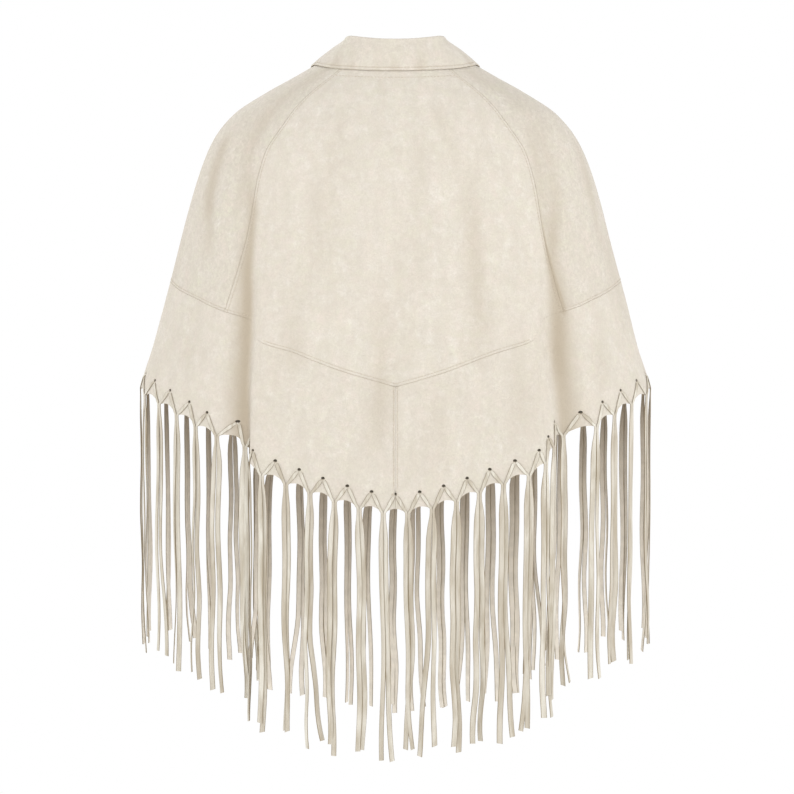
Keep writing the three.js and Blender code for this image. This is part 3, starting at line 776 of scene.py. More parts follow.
def declare_grid(piece, grid):
    """Prints a piece's size from its grid: as wide as its last row, as long as its longest line down.
    """
    width = lengths_along(grid[-1]) * MM
    length = lengths_along(grid).max() * MM
    declare_cloth(piece, width, length, sheet_area(grid))


def declare_cloth(piece, width, length, area):
    """Prints the size of a piece of cloth, cut flat as an oblong that holds its area."""
    share = area / (width * length)
    if share > 1:
        length *= share * 1.01
    print(f"cloth {piece.name}: {width:.3f} x {length:.3f} m, {area:.4f} m2")


def face_outward(piece):
    """Turns the faces over where they look into the garment."""
    mesh = piece.data
    count = len(mesh.polygons)
    normals = np.empty(count * 3)
    centres = np.empty(count * 3)
    mesh.polygons.foreach_get("normal", normals)
    mesh.polygons.foreach_get("center", centres)
    normals, centres = normals.reshape(-1, 3), centres.reshape(-1, 3)
    if (normals[:, :2] * centres[:, :2]).sum() < 0:
        mesh.flip_normals()


def lower_rows(count):
    """Shares down a lower panel: 0 at the V seam, 1 at the holes, 2 at the hem edge."""
    upper = ruled(LOWER_HEIGHT, PLAIN_EDGE, [(0, 0), (HOLE_HALF_HEIGHT, 0)], count)[0]
    return np.concatenate([upper, 1 + np.array(HEM_ROWS)])


def lower_columns(cell):
    """Stations round one lower panel: its holes and lobes, and the press of its two edges."""
    seam = [row[0] / QUARTER for row in TWIN_EDGE]
    side = HOLE_HALF_WIDTH / QUARTER
    marks = []
    stops = HOLES + [CENTRE_FRONT]
    for hole, after in zip(stops[:-1], stops[1:]):
        half = (after - hole) / 2 if after < CENTRE_FRONT else after - hole
        inner = np.linspace(side, half, max(3, int(half * QUARTER / cell) + 2))
        marks += [hole, *(hole + inner)]
        if after < CENTRE_FRONT:
            marks += [*(after - inner[-2::-1])]
    marks = [m for m in marks if CENTRE_FRONT - m > seam[-1] + SEAM_CLEAR or m >= CENTRE_FRONT]
    marks += [CENTRE_FRONT - s for s in seam]
    extra = [s for s in seam[1:] if abs(s - side) > HOLE_CLEAR]
    return np.array(sorted(set(round(m, 6) for m in marks + extra)))


def lower_heights(at, shares):
    """Heights of the rows of a lower panel: down to the holes, then down each lobe."""
    above = np.minimum(shares, 1)[:, None]
    below = np.maximum(shares - 1, 0)[:, None]
    rim = HEM_ROWS[0]
    lobe = mix(rim * ARCH_DROP, hem_drop(at)[None, :], (below - rim) / (1 - rim))
    drop = np.where(below <= rim, below * ARCH_DROP, lobe)
    return mix(v_seam(at), hole_line(at), above) - drop


def lower_press(at, stations, z):
    """How far a lower panel sinks and is pressed, at its seams and round its holes."""
    seam_distance = np.minimum(at, CENTRE_FRONT - at) * QUARTER
    top_sink = np.zeros(len(z))
    top_sink[: len(PLAIN_EDGE)] = [row[1] for row in PLAIN_EDGE]
    sink = np.interp(seam_distance, *zip(*TWIN_EDGE)) + top_sink[:, None] * seam_show(stations)
    pressed = np.clip(sink / FULL_PRESS, 0, 1)
    holes = np.array(HOLES)
    nearest = np.abs(at[None, :] - holes[:, None]).argmin(0)
    far = np.hypot((at - holes[nearest])[None, :] * QUARTER, z - hole_line(at)[None, :])
    sink = sink + HOLE_DIP * np.exp(-((far / HOLE_DIP_REACH) ** 2))
    near = HOLE_PRESS * np.exp(-((far / HOLE_PRESS_REACH) ** 2))
    return np.minimum(sink, MOST_SINK), np.maximum(pressed, near)


def cut_holes(grid, faces, at, hole_row, side, gap):
    """Cuts the lace holes and returns the faces that stay.

    The cells round each hole go, and the points round them move onto its rim.
    """
    columns = len(at)
    keep = np.ones(len(faces), bool)
    for hole in HOLES:
        j = int(np.argmin(np.abs(at - hole)))
        for di in (-1, 0, 1):
            for dj in (-1, 0, 1):
                if (di or dj) and 0 <= j + dj < columns:
                    angle = math.atan2(-di, dj)
                    station = side * (hole + HOLE_HALF_WIDTH / QUARTER * math.cos(angle))
                    height = hole_line(hole) + HOLE_HALF_HEIGHT * math.sin(angle)
                    rim = on_cloth(station, height, RIM_LIFT)
                    if j + dj == 0:
                        rim[0] += side * gap / 2
                    grid[hole_row + di, j + dj] = rim
                if di < 1 and dj < 1 and 0 <= j + dj < columns - 1:
                    keep[(hole_row + di) * (columns - 1) + j + dj] = False
    return faces[keep]


def lower_piece(name, side):
    """Makes one lower panel, with its holes and lobes."""
    cloth = bpy.context.scene.poncho_cloth
    cell, gap = cloth.cell / MM, cloth.seam_gap / MM
    at = lower_columns(cell)
    shares = lower_rows(int(LOWER_EVEN / cell))
    z = lower_heights(at, shares)
    stations = np.repeat(side * at[None, :], len(shares), 0)
    sink, pressed = lower_press(at, stations, z)
    normal = cloth_normal(stations, z)
    grid = cloth_point(stations, z) - normal * pucker(stations, z, sink)[..., None]
    grid = seam_gap_shift(grid, gap, (True, True, True, False))
    hole_row = int(np.argmin(np.abs(shares - 1)))
    faces = cut_holes(grid, grid_faces(*z.shape), at, hole_row, side, gap)
    used = np.zeros(z.size, bool)
    used[faces.ravel()] = True
    number = np.cumsum(used) - 1
    # Painted shade of the fold valleys and creases, as a mark on the points
    painted_shade_and_tone = painted_shade_share(stations, z)
    pressed = pressed * (1 - VALLEY_HIDES * painted_shade_and_tone)
    marks = {"pressed": pressed.ravel()[used], "painted_shade_and_tone": painted_shade_and_tone.ravel()[used]}
    piece = cloth_piece(name, grid.reshape(-1, 3)[used], number[faces], marks)
    for word, near, last in (("centre_back", 0, hole_row), ("centre_front", CENTRE_FRONT, len(z))):
        j = int(np.argmin(np.abs(np.abs(at - near) * QUARTER - TWIN_EDGE[TWIN_LINE][0])))
        row = (slice(2, last - 2), j)
        sew_along(f"{name}_{word}", grid[row], normal[row] * STITCH_LIFT)
    declare_grid(piece, grid)


def hem_drop(at):
    """Depth of the hem edge under the hole line: an arch at each hole, a lobe between."""
    at = np.abs(at)
    stops = np.array(HOLES + [CENTRE_FRONT + (CENTRE_FRONT - HOLES[-1])])
    i = np.clip(np.searchsorted(stops, at, side="right") - 1, 0, len(stops) - 2)
    share = (at - stops[i]) / (stops[i + 1] - stops[i])
    off = np.abs(share - 0.5) * 2
    return LOBE_DROP - (LOBE_DROP - ARCH_DROP) * (1 - (1 - off) ** 1.6)


def seam_line(table, side):
    """Station of a seam at a height, on one side."""
    return lambda z: side * read(table, "z", "at", z)


# Collar


def stand_top(at):
    """Foot of the collar stand at a station, the way inward, its height and its lean."""
    foot = cloth_point(at, neck_line(at), False)
    height, lean = (read(STAND, "at", word, np.abs(at)) for word in ("height", "lean"))
    return foot, unit(-foot * LEVEL), height, lean


def collar_stand():
    """Makes the band that stands up from the neckline and holds the leaf."""
    gap = bpy.context.scene.poncho_cloth.seam_gap / MM
    foot, inward, height, lean = stand_top(np.linspace(-1, 1, STAND_COLUMNS) * LEAF_FRONT)
    t = np.array(STAND_SHARES)[:, None]
    grid = foot[None] + inward[None] * (lean[None] * ease(t) + STAND_INSET)[..., None]
    grid[..., 2] += mix(gap + STAND_OVER_SEAM, height[None] - STAND_UNDER_FOLD, t)
    marks = {"pressed": np.repeat(np.clip(1 - t * 12, 0, 1), grid.shape[1], 1)}
    piece = cloth_piece("collar_stand", grid.reshape(-1, 3), grid_faces(*grid.shape[:2]), marks)
    declare_cloth(piece, lengths_along(grid[0]) * MM, STAND_CUT, sheet_area(grid))


def through(controls):
    """A smooth path through control points, in eight steps from each one to the next."""
    ends = 2 * controls[[0, -1]] - controls[[1, -2]]
    padded = np.concatenate([ends[:1], controls, ends[1:]])
    t = np.linspace(0, 1, 9)[:-1].reshape((8,) + (1,) * (controls.ndim - 1))
    pieces = []
    for a, b, c, d in zip(padded[:-3], padded[1:-2], padded[2:-1], padded[3:]):
        curve = (2 * a - 5 * b + 4 * c - d) * t**2 + (3 * b - a - 3 * c + d) * t**3
        pieces.append(0.5 * (2 * b + (c - a) * t + curve))
    return np.concatenate([*pieces, controls[-1:]])


def resample(path, wanted):
    """Points of a path, and what is stacked beside them, at lengths along it."""
    lengths = travelled(path[:, :3])
    return np.stack([np.interp(wanted, lengths, column) for column in path.T], -1)


def leaf_paths(part, lift):
    """The leaf's path at each share round it: over the stand's top, then down to its edge."""
    foot, inward, height, lean = stand_top(part * LEAF_FRONT)
    top = foot + inward * (lean + STAND_INSET)[:, None]
    top[:, 2] += height
    controls = [top - inward * out + np.array([0, 0, up]) for out, up in LEAF_ROLL]
    edge_at, edge_z = (read(LEAF_EDGE, "part", word, np.abs(part)) for word in ("at", "z"))
    edge_at = np.where(part < 0, -1, 1) * edge_at
    away = cloth_normal(edge_at, edge_z, False)
    edge = on_cloth(edge_at, edge_z, np.full(edge_z.shape, lift))
    start = controls[-1] + unit(edge - controls[-1]) * LEAF_TURN
    controls.append(start)
    for t in (0.35, 0.68, 1):
        controls.append(mix(start, edge, t) + away * LEAF_BULGE * math.sin(math.pi * t))
    return through(np.array(controls))


def collar_leaf():
    """Makes the leaf that is turned down over the stand, to its points at the front."""
    distances, presses = np.array(LEAF_EDGE_PRESS).T
    end_distances, end_presses = np.array(LEAF_END_PRESS).T
    ends = 1 - end_distances[::-1] / LEAF_END_SCALE
    part = np.concatenate([-ends[::-1], np.linspace(-ends[0], ends[0], LEAF_COLUMNS)[1:-1], ends])
    paths = leaf_paths(part, LEAF_LIFT + bpy.context.scene.poncho_cloth.wall / MM)
    grid = []
    for path, length in zip(paths.swapaxes(0, 1), lengths_along(paths)):
        even = np.linspace(0, length - distances[-1], LEAF_ROWS)
        grid.append(resample(path, np.concatenate([even, length - distances[::-1][1:]])))
    grid = np.array(grid)
    normal = unit(np.cross(np.gradient(grid, axis=0), np.gradient(grid, axis=1)))
    middle = len(part) // 2
    if np.dot(normal[middle, -1 - len(distances)], grid[middle, -1] * LEVEL) < 0:
        normal = -normal
    sink = np.zeros(grid.shape[:2])
    sink[:, -len(distances):] += presses[::-1]
    sink += np.interp((1 - np.abs(part)) * LEAF_END_SCALE, end_distances, end_presses)[:, None]
    along = part[:, None] * LEAF_RIPPLE_RUN
    fall = np.linspace(0, 1, grid.shape[1])[None, :]
    ripple = 0.35 * np.sin(along / 13 + 1.1 * np.sin(along / 31)) + 0.25 * np.sin(along / 6.1 + 2)
    sink = np.minimum(sink, 1) + ripple * np.clip((fall - 0.3) * 1.6, 0, 1) * 0.8
    grid = grid - normal * sink[..., None]
    marks = {"pressed": np.clip(sink / FULL_PRESS, 0, 1)}
    piece = cloth_piece("collar_leaf", grid.reshape(-1, 3), grid_faces(*grid.shape[:2]), marks)
    line = -1 - LEAF_LINE
    rows = {
        "edge": (slice(LEAF_LINE, -LEAF_LINE), line),
        "front_left": (line, slice(LEAF_SEWN_FROM, line)),
        "front_right": (LEAF_LINE, slice(LEAF_SEWN_FROM, line)),
    }
    for word, row in rows.items():
        sew_along(f"collar_leaf_{word}", grid[row], normal[row] * STITCH_LIFT)
    declare_grid(piece, grid.swapaxes(0, 1))


# Thongs

# Section of a thong, in half widths across and thicknesses up, and which of its faces are the
# flesh side and the cut edges
RING = np.array([
    (-1.0, 0.0), (-0.82, 0.44), (-0.45, 0.5), (0.0, 0.5), (0.45, 0.5), (0.82, 0.44),
    (1.0, 0.0), (0.82, -0.44), (0.45, -0.5), (0.0, -0.5), (-0.45, -0.5), (-0.82, -0.44),
])
FLESH_FACES = [7, 8, 9, 10]
CUT_FACES = [0, 5, 6, 11]


def strip(path, thick, half, thickness, cup, slant):
    """Points and faces of one flat thong along a path."""
    tangent = unit(np.gradient(path, axis=0))
    thick = unit(thick - tangent * (thick * tangent).sum(-1, keepdims=True))
    across = unit(np.cross(tangent, thick))
    u = RING[None, :, 0, None]
    v = RING[None, :, 1, None]
    height = v * thickness[:, None, None] + cup[:, None, None] * (u * u - 0.4)
    points = path[:, None] + across[:, None] * u * half[:, None, None] + thick[:, None] * height
    points[-1] += tangent[-1] * slant * RING[:, :1]
    count, ring = len(path), len(RING)
    i = np.arange(count - 1)[:, None] * ring
    j = np.arange(ring)[None, :]
    k = (j + 1) % ring
    faces = np.stack([i + j, i + k, i + ring + k, i + ring + j], -1)
    kinds = np.zeros(faces.shape[:2], int)
    kinds[:, FLESH_FACES] = 1
    kinds[:, CUT_FACES] = 2
    sides = [list(f) for f in faces.reshape(-1, 4)]
    caps = [list(range(ring))[::-1], [(count - 1) * ring + n for n in range(ring)]]
    return points.reshape(-1, 3), sides + caps, [*kinds.ravel(), 2, 2]


def thong_leg(hole_at, lobe_at, lobe_z):
    """A thong on the cloth: from behind it, out of its hole, over the rim and down to the lobe.

    Returns its points, the directions that its face looks in and its half widths.
    """
    flat_at = lobe_at if lobe_at * hole_at >= 0 else -lobe_at
    toward_hole = 1 if hole_at > flat_at else -1
    foot_at = flat_at + toward_hole * KNOT_HALF / 2 / QUARTER
    start_at = hole_at - toward_hole * HOLE_ASIDE / QUARTER
    start_z = hole_line(hole_at) - HOLE_UNDER
    at = np.concatenate([np.full(len(TUCK_RISE), start_at), mix(start_at, foot_at, LEG_SHARES)])
    z = np.concatenate([start_z + TUCK_RISE, mix(start_z, lobe_z, LEG_SHARES)])
    out = ease(np.clip(LEG_SHARES / LEG_LANDS, 0, 1))
    lift = np.concatenate([TUCK_LIFT, mix(HOLE_LIFT, LACE_MIDDLE, out)])
    length = math.hypot((hole_at - foot_at) * QUARTER, start_z - lobe_z)
    spreading = np.minimum(LEG_START_HALF + LEG_SPREADS * LEG_SHARES * length, LACE_HALF)
    gathered = mix(LACE_HALF, KNOT_HALF / 2, np.clip((LEG_SHARES - LEG_GATHERS) / 0.5, 0, 1))
    half = np.concatenate([TUCK_HALF, np.minimum(spreading, gathered)])
    return on_cloth(at, z, lift), cloth_normal(at, z), half


def hang_path(its, start, ways, lap, side, toward):
    """Path of a hanging end, from the bunch to its tip: it opens, leans, bows, sways and swings.

    ways: level directions along the hem, toward the hole and out of the cloth.
    side: how far the whole bunch is moved in x.
    """
    level, aside, face = ways
    t = HANG_SHARES
    opened = open_share()
    offset = mix(KNOT_HALF / 2, STRAND_HALF + STRAND_APART - lap, opened) + its["spread"] * t**2.4
    offset = offset + its["splay"] ** 3 * SPLAY * np.clip((t - 0.5) / 0.5, 0, 1) ** 1.4
    pace, phase, own = 6.28 * its["pace"], its["bunch_phase"], its["phase"]
    sway = 1.5 * (np.sin(pace * t + phase) - math.sin(phase)) * t**0.6
    sway = sway + 0.9 * np.sin(7 * t + own) * t**1.5 + its["lean"] * t * t
    sway = sway + its["bow"] * np.sin(math.pi * t)
    swing = 1.6 * np.sin(5.1 * its["pace"] * t + phase + 1) * t**0.8 + 0.8 * np.sin(11 * t + own) * t
    swing = swing + its["outward"] * t
    swing = swing + toward * 0.9 * np.maximum(min(lap, 1) * opened, ease(t))
    hang = start + aside * offset[:, None] + level * sway[:, None] + face * swing[:, None]
    hang[:, 0] += side * ease(np.clip(t / 0.08, 0, 1))
    return hang


def open_share():
    """How far the two ends of a bunch have opened, down a hanging end."""
    return ease(np.clip(HANG_SHARES / 0.09, 0, 1))


def hang_faces(its, aside, face, own_share):
    """Directions that the face of a hanging end looks in, as it twists on its way down."""
    t = HANG_SHARES
    twist = mix(its["bunch_turn"], its["turn"] * its["turn_share"], own_share) * t**0.7
    phase = mix(its["bunch_phase"], its["phase"], own_share)
    twist = twist + mix(0.1, 0.3, own_share) * np.sin(8 * t + phase) * t
    across = aside * np.cos(twist)[:, None] + face * np.sin(twist)[:, None]
    thick = unit(np.cross(across, np.array([0.0, 0.0, 1.0])))
    return thick * np.where((thick @ face) < 0, -1, 1)[:, None]


def thong_half(hole, lobe_number, lobe_at, toward):
    """One end of a thong, from its hole to its tip.

    Returns its path with face direction, half width, thickness and cup beside each point,
    the slant of its tip and its two marks: painted shade with its own random tone, and the
    painted shade of its flesh side.
    """
    its = traits(lobe_number, toward)
    hole_at = math.copysign(HOLES[abs(hole)], hole)
    lobe_z = hole_line(lobe_at) - LOBE_DROP
    point = cloth_point(lobe_at, lobe_z)
    normal = cloth_normal(lobe_at, lobe_z)
    arch = cloth_point(hole_at, hole_line(hole_at) - ARCH_DROP)
    aside = unit((arch - point) * LEVEL)
    face = unit(normal * LEVEL)
    level = np.array([face[1], -face[0], 0])
    lap = its["lap"] * (LAP_BACK if abs(lobe_at) < 1 else LAP_FRONT)
    own_share = 1 - min(lap / LAP_AS_ONE, 1)
    leg, leg_faces, leg_half = thong_leg(hole_at, lobe_at, lobe_z)
    start = point + normal * LACE_MIDDLE
    side = its["shift"] if abs(lobe_at) > 1.5 else 0
    hang = hang_path(its, start, (level, aside, face), lap, side, toward)
    hang[:, 2] = mix(lobe_z - KNOT_DROP, strand_tip(lobe_at) + its["tip"], HANG_SHARES)
    neck = start + aside * (KNOT_HALF / 2)
    opened = open_share()
    controls = np.concatenate([leg, neck[None], hang])
    faces = np.concatenate([leg_faces, normal[None], hang_faces(its, aside, face, own_share)])
    hang_half = mix(KNOT_HALF / 2, STRAND_HALF * its["width"], opened)
    half = np.concatenate([leg_half, [KNOT_HALF / 2], hang_half])
    thickness = np.full(len(half), LACE_THICKNESS)
    thickness[len(TUCK_RISE) - 1:len(leg) - 1] = RIM_THICKNESS
    cup = np.concatenate([np.zeros(len(leg)), [0.25], its["cup"] * opened])
    dense = through(np.column_stack([controls, faces, half, thickness, cup]))
    whole = travelled(dense[:, :3])[-1]
    top = np.linspace(0, FINE_LENGTH, THONG_RINGS)[:-1]
    lengths = np.concatenate([top, np.linspace(FINE_LENGTH, whole, THONG_RINGS)])
    path = resample(dense, lengths)
    below = np.clip(lobe_z - path[:, 2], 0, None)
    painted_shade_and_tone = thong_shade(below, lengths, its["shade"])
    # The last mark is painted shade on the flesh side, strongest just under the lobe, inside the
    # garment.
    return path, its["slant"], painted_shade_and_tone, np.exp(-below / FLESH_SHADE_FADE)


def thong_shade(below, lengths, own):
    """Painted shade down a thong, by the drop below its lobe: dark under the knot, then its own random
    tone.

    Where it folds through the hole the value is 2, which its material takes for the darkest: a painted
    shadow, nearly black.
    """
    own_shade = (0.08 + 0.5 * own**2) * np.clip(below / 30, 0, 1)
    painted_shade_and_tone = np.where(below > 0, own_shade + 0.5 * np.exp(-below / KNOT_SHADE_FADE), 0.05)
    painted_shade_and_tone[lengths < TUCK_LENGTH] = 2
    return painted_shade_and_tone


def traits(lobe_number, toward):
    """What sets one hanging end apart from the others."""
    return {
        name: least + reach * scatter(lobe_number + 60, number + toward * own)
        for name, (number, own, least, reach) in TRAITS.items()
    }


def wrap_hole(hole):
    """Number of a hole, counted past the centre front back down the other side."""
    return hole - 2 * LAST_HOLE - 1 if hole > LAST_HOLE else hole


def lobe_after(hole):
    """Number and station of the lobe after a hole."""
    a, b = wrap_hole(hole), wrap_hole(hole + 1)
    near = abs(a) if abs(a) < abs(b) else abs(b)
    sign = -1 if a + b < 0 else 1
    at = CENTRE_FRONT if near == LAST_HOLE else (HOLES[near] + HOLES[near + 1]) / 2
    return a, sign * at


# The six runs of the fringe: first and last hole, counted from the centre back to the left
FRINGE_RUNS = {
    "fringe_back": (-6, 6),
    "fringe_back_side_left": (7, 13),
    "fringe_front_side_left": (14, 20),
    "fringe_front": (21, 32),
    "fringe_front_side_right": (-20, -14),
    "fringe_back_side_right": (-13, -7),
}


def thong_run(name, first, last):
    """All the thongs of one run of the hem, as one piece."""
    points, faces, kinds = [], [], []
    # Marks of painted shade: along each thong with its own tone, and on its flesh side
    marks = {"painted_shade_and_tone": [], "inner": []}
    count = 0
    for hole in range(first, last + 1):
        for lobe_hole, toward in ((hole - 1, 1), (hole, -1)):
            number, lobe_at = lobe_after(lobe_hole)
            path, slant, painted_shade_and_tone, inner = thong_half(wrap_hole(hole), number, lobe_at, toward)
            made, sides, kind = strip(path[:, :3], path[:, 3:6], *path[:, 6:].T, slant)
            points.append(made)
            faces += [[index + count for index in f] for f in sides]
            kinds += kind
            marks["painted_shade_and_tone"] += [painted_shade_and_tone]
            marks["inner"] += [inner]
            count += len(made)
    marks = {mark: np.repeat(np.concatenate(values), len(RING)) for mark, values in marks.items()}
    piece = make_piece(f"{name}_thongs", np.concatenate(points), faces, thong_materials(), marks, kinds)
    piece.data.flip_normals()
    bake(piece, 50)
    settle(piece, name)


# Materials


def linear(colour):
    """Linear colour of an sRGB hex value."""
    parts = [int(colour[i : i + 2], 16) / 255 for i in (1, 3, 5)]
    return tuple(c / 12.92 if c <= 0.04045 else ((c + 0.055) / 1.055) ** 2.4 for c in parts)


def add_node(tree, kind, settings=None, inputs=None):
    """Adds a node with its settings, and fills its sockets with values or other nodes' outputs."""
    node = tree.nodes.new(kind)
    for name, value in (settings or {}).items():
        setattr(node, name, value)
    for key, value in (inputs or {}).items():
        if isinstance(value, bpy.types.NodeSocket):
            tree.links.new(value, node.inputs[key])
        else:
            node.inputs[key].default_value = value
    return node


def start_material(name):
    """An emptied material, its node tree and the place in the piece."""
    material = bpy.data.materials.get(name) or bpy.data.materials.new(name)
    material.use_nodes = True
    tree = material.node_tree
    tree.nodes.clear()
    return material, tree, add_node(tree, "ShaderNodeTexCoord").outputs["Object"]


def opaque(colour):
    return (*colour, 1.0)


def tinted(colour, factor):
    return np.array(colour) * factor


def layered(tree, ground, layers):
    """Lays colours one over another on a ground, each by its share."""
    colour = opaque(ground)
    for share, over in layers:
        inputs = {0: share, 6: colour, 7: opaque(over)}
        colour = add_node(tree, "ShaderNodeMix", {"data_type": "RGBA"}, inputs).outputs[2]
    return colour


def mark_share(tree, mark):
    return add_node(tree, "ShaderNodeAttribute", {"attribute_name": mark}).outputs["Fac"]


def ramp(tree, value, low, high, start=0.0, end=1.0):
    """A value's way from low to high, as a share from start to end that stops there."""
    inputs = {"Value": value, "From Min": low, "From Max": high, "To Min": start, "To Max": end}
    return add_node(tree, "ShaderNodeMapRange", {"clamp": True}, inputs).outputs[0]


def multiply(tree, value, factor):
    return add_node(tree, "ShaderNodeMath", {"operation": "MULTIPLY"}, {0: value, 1: factor}).outputs[0]


def multiply_add(tree, value, factor, more):
    inputs = {0: value, 1: factor, 2: more}
    return add_node(tree, "ShaderNodeMath", {"operation": "MULTIPLY_ADD"}, inputs).outputs[0]


def relief(tree, height, strength, depth, over=None):
    """Relief of a depth in metres, laid over a finer one."""
    inputs = {"Strength": strength, "Distance": depth, "Height": height}
    if over is not None:
        inputs["Normal"] = over
    return add_node(tree, "ShaderNodeBump", None, inputs).outputs[0]


def clouds(tree, place, size, detail, low, high, distort=0.0, stretch=(1, 1, 1), rough=0.55):
    """Share from 0 to 1 in patches of a size in metres."""
    where = add_node(tree, "ShaderNodeMapping", None, {"Vector": place, "Scale": stretch})
    inputs = {
        "Vector": where.outputs[0], "Scale": 1 / size, "Detail": detail,
        "Roughness": rough, "Distortion": distort,
    }
    noise = add_node(tree, "ShaderNodeTexNoise", None, inputs)
    return ramp(tree, noise.outputs[0], low, high)


def finish_shader(tree, colour, normal, roughness, sheen):
    """Ends a material: matt, with the soft sheen of fibres at its edges."""
    inputs = {
        "Base Color": colour, "Normal": normal, "Roughness": roughness,
        "Sheen Weight": sheen, "Sheen Roughness": 0.6, "IOR": 1.4,
        "Specular IOR Level": 0.12, "Sheen Tint": (1.0, 0.97, 0.92, 1.0),
    }
    shader = add_node(tree, "ShaderNodeBsdfPrincipled", None, inputs)
    add_node(tree, "ShaderNodeOutputMaterial", None, {"Surface": shader.outputs[0]})


# The suede's patterns: size in metres, detail, the two noise values that its share runs between,
# distortion, stretch and roughness. The nap is drawn coarser than the real one, so that it shows.
SUEDE_PATTERNS = {
    "patches": (0.013, 9.0, 0.36, 0.64, 0.4, (1, 1, 1), 0.74),
    "fields": (0.075, 3.0, 0.35, 0.65, 0.3),
    "streaks": (0.016, 3.0, 0.35, 0.68, 0.2, (1, 1, 0.24)),
    "nap": (0.0022, 3.0, 0.3, 0.7),
    "mottle": (0.0046, 6.0, 0.38, 0.62, 0.5, (1, 1, 0.8), 0.75),
    "rose": (0.019, 6.0, 0.42, 0.66, 0.3, (1.3, 1, 0.8), 0.65),
    "olive": (0.015, 6.0, 0.42, 0.66, 0.3, (0.8, 1, 1.2), 0.65),
    "grain": (0.0035, 2.0, 0.3, 0.7),
}


def suede_material(name, base, shade, crease):
    """Goat suede, buffed: a short matt nap that brushes lighter and darker in soft clouds.

    It gives the eye a chalky, cloudy surface with no shine, darker where sewing presses it,
    darkened by painted shade in the fold valleys and creases, and more mottled where it is worn.
    """
    material, tree, place = start_material(name)
    seen = {word: clouds(tree, place, *row) for word, row in SUEDE_PATTERNS.items()}
    worn = mark_share(tree, "worn")
    tinge = multiply_add(tree, worn, 0.4, 0.6)
    spotting = multiply_add(tree, worn, 0.5, 0.3)
    middle = mix(np.array(base), np.array(shade), 0.5)
    colour = layered(tree, shade, [
        (seen["patches"], base),
        (multiply(tree, seen["rose"], tinge), middle * (1.035, 0.96, 0.955)),
        (multiply(tree, seen["olive"], tinge), middle * (0.96, 1.0, 0.895)),
        (multiply(tree, seen["fields"], 0.4), middle * (1.02, 0.985, 0.985)),
        (multiply(tree, seen["streaks"], 0.45), tinted(shade, 0.95)),
        (multiply(tree, seen["mottle"], spotting), tinted(shade, 0.9)),
        (multiply(tree, seen["nap"], 0.38), tinted(shade, 0.9)),
        (multiply(tree, mark_share(tree, "pressed"), 0.68), crease),
        # Painted shade in the fold valleys and creases
        (multiply(tree, mark_share(tree, "painted_shade_and_tone"), 0.9), crease),
    ])
    fine = relief(tree, multiply_add(tree, seen["grain"], 0.6, seen["nap"]), 0.35, 0.0004)
    wide = relief(tree, seen["patches"], 0.35, 0.0016, fine)
    finish_shader(tree, colour, wide, 0.93, 0.25)
    return material


def flesh_material(name, base, mark=None):
    """The unbuffed side or a cut edge of the suede.

    It gives the eye a more fibrous surface than the nap, darker with painted shade where a mark says
    so.
    """
    material, tree, place = start_material(name)
    layers = [(clouds(tree, place, 0.012, 4.0, 0.35, 0.65), base)]
    if mark:
        # Painted shade, darkest near the tops of the thongs, where the mark is given
        layers.append((multiply(tree, mark_share(tree, mark), 0.9), tinted(base, (0.45, 0.395, 0.33))))
    colour = layered(tree, tinted(base, 0.86), layers)
    fibres = clouds(tree, place, 0.0012, 2.0, 0.3, 0.7, 0.0, (1, 1, 0.3))
    finish_shader(tree, colour, relief(tree, fibres, 0.4, 0.0003), 0.95, 0.1)
    return material


def thong_material(name, base, shade, crease):
    """Suede cut in strips: the same nap, with the streaks of the hide running down each strip.

    It gives the eye pale ribbons with painted shade under the knots and a painted shadow, nearly black,
    in the holes; each strand also takes its own random tone.
    """
    material, tree, place = start_material(name)
    streaks = clouds(tree, place, 0.008, 5.0, 0.36, 0.64, 0.3, (1, 1, 0.13))
    nap = clouds(tree, place, 0.0016, 3.0, 0.3, 0.7)
    painted_shade_and_tone = mark_share(tree, "painted_shade_and_tone")
    colour = layered(tree, shade, [
        (streaks, base),
        # Painted shade under the knots with each strand's own tone, then the painted shadow in the
        # holes
        (multiply(tree, painted_shade_and_tone, 0.75), tinted(crease, 0.9)),
        (ramp(tree, painted_shade_and_tone, 1.2, 1.9), tinted(crease, 0.12)),
        (multiply(tree, nap, 0.15), tinted(shade, 0.88)),
    ])
    finish_shader(tree, colour, relief(tree, nap, 0.35, 0.0004), 0.93, 0.22)
    return material


def thread_material():
    """Spun polyester thread: it gives the eye a faint gleam on each stitch, darker than the nap."""
    thread = bpy.context.scene.poncho_colours.thread
    material, tree, place = start_material("polyester_thread")
    twist = clouds(tree, place, 0.0007, 1.0, 0.3, 0.7)
    colour = layered(tree, tinted(thread, 0.85), [(twist, thread)])
    finish_shader(tree, colour, relief(tree, twist, 0.3, 0.0001), 0.6, 0.1)
    return material


def cloth_materials():
    colours = bpy.context.scene.poncho_colours
    return [
        suede_material("suede_nap", colours.suede, colours.suede_shade, colours.crease),
        flesh_material("suede_flesh_side", colours.flesh),
    ]


def thong_materials():
    colours = bpy.context.scene.poncho_colours
    return [
        thong_material("thong_suede", colours.thong, colours.thong_shade, colours.crease),
        # The thongs' flesh side takes painted shade from the inner mark.
        flesh_material("thong_flesh_side", colours.thong_flesh, "inner"),
        # The cut edges are darker partly in their own tone and partly with painted shade along the
        # thongs' edges.
        flesh_material("thong_cut_edge_and_painted_shade", colours.cut_edge_and_painted_shade),
    ]


# Stitching


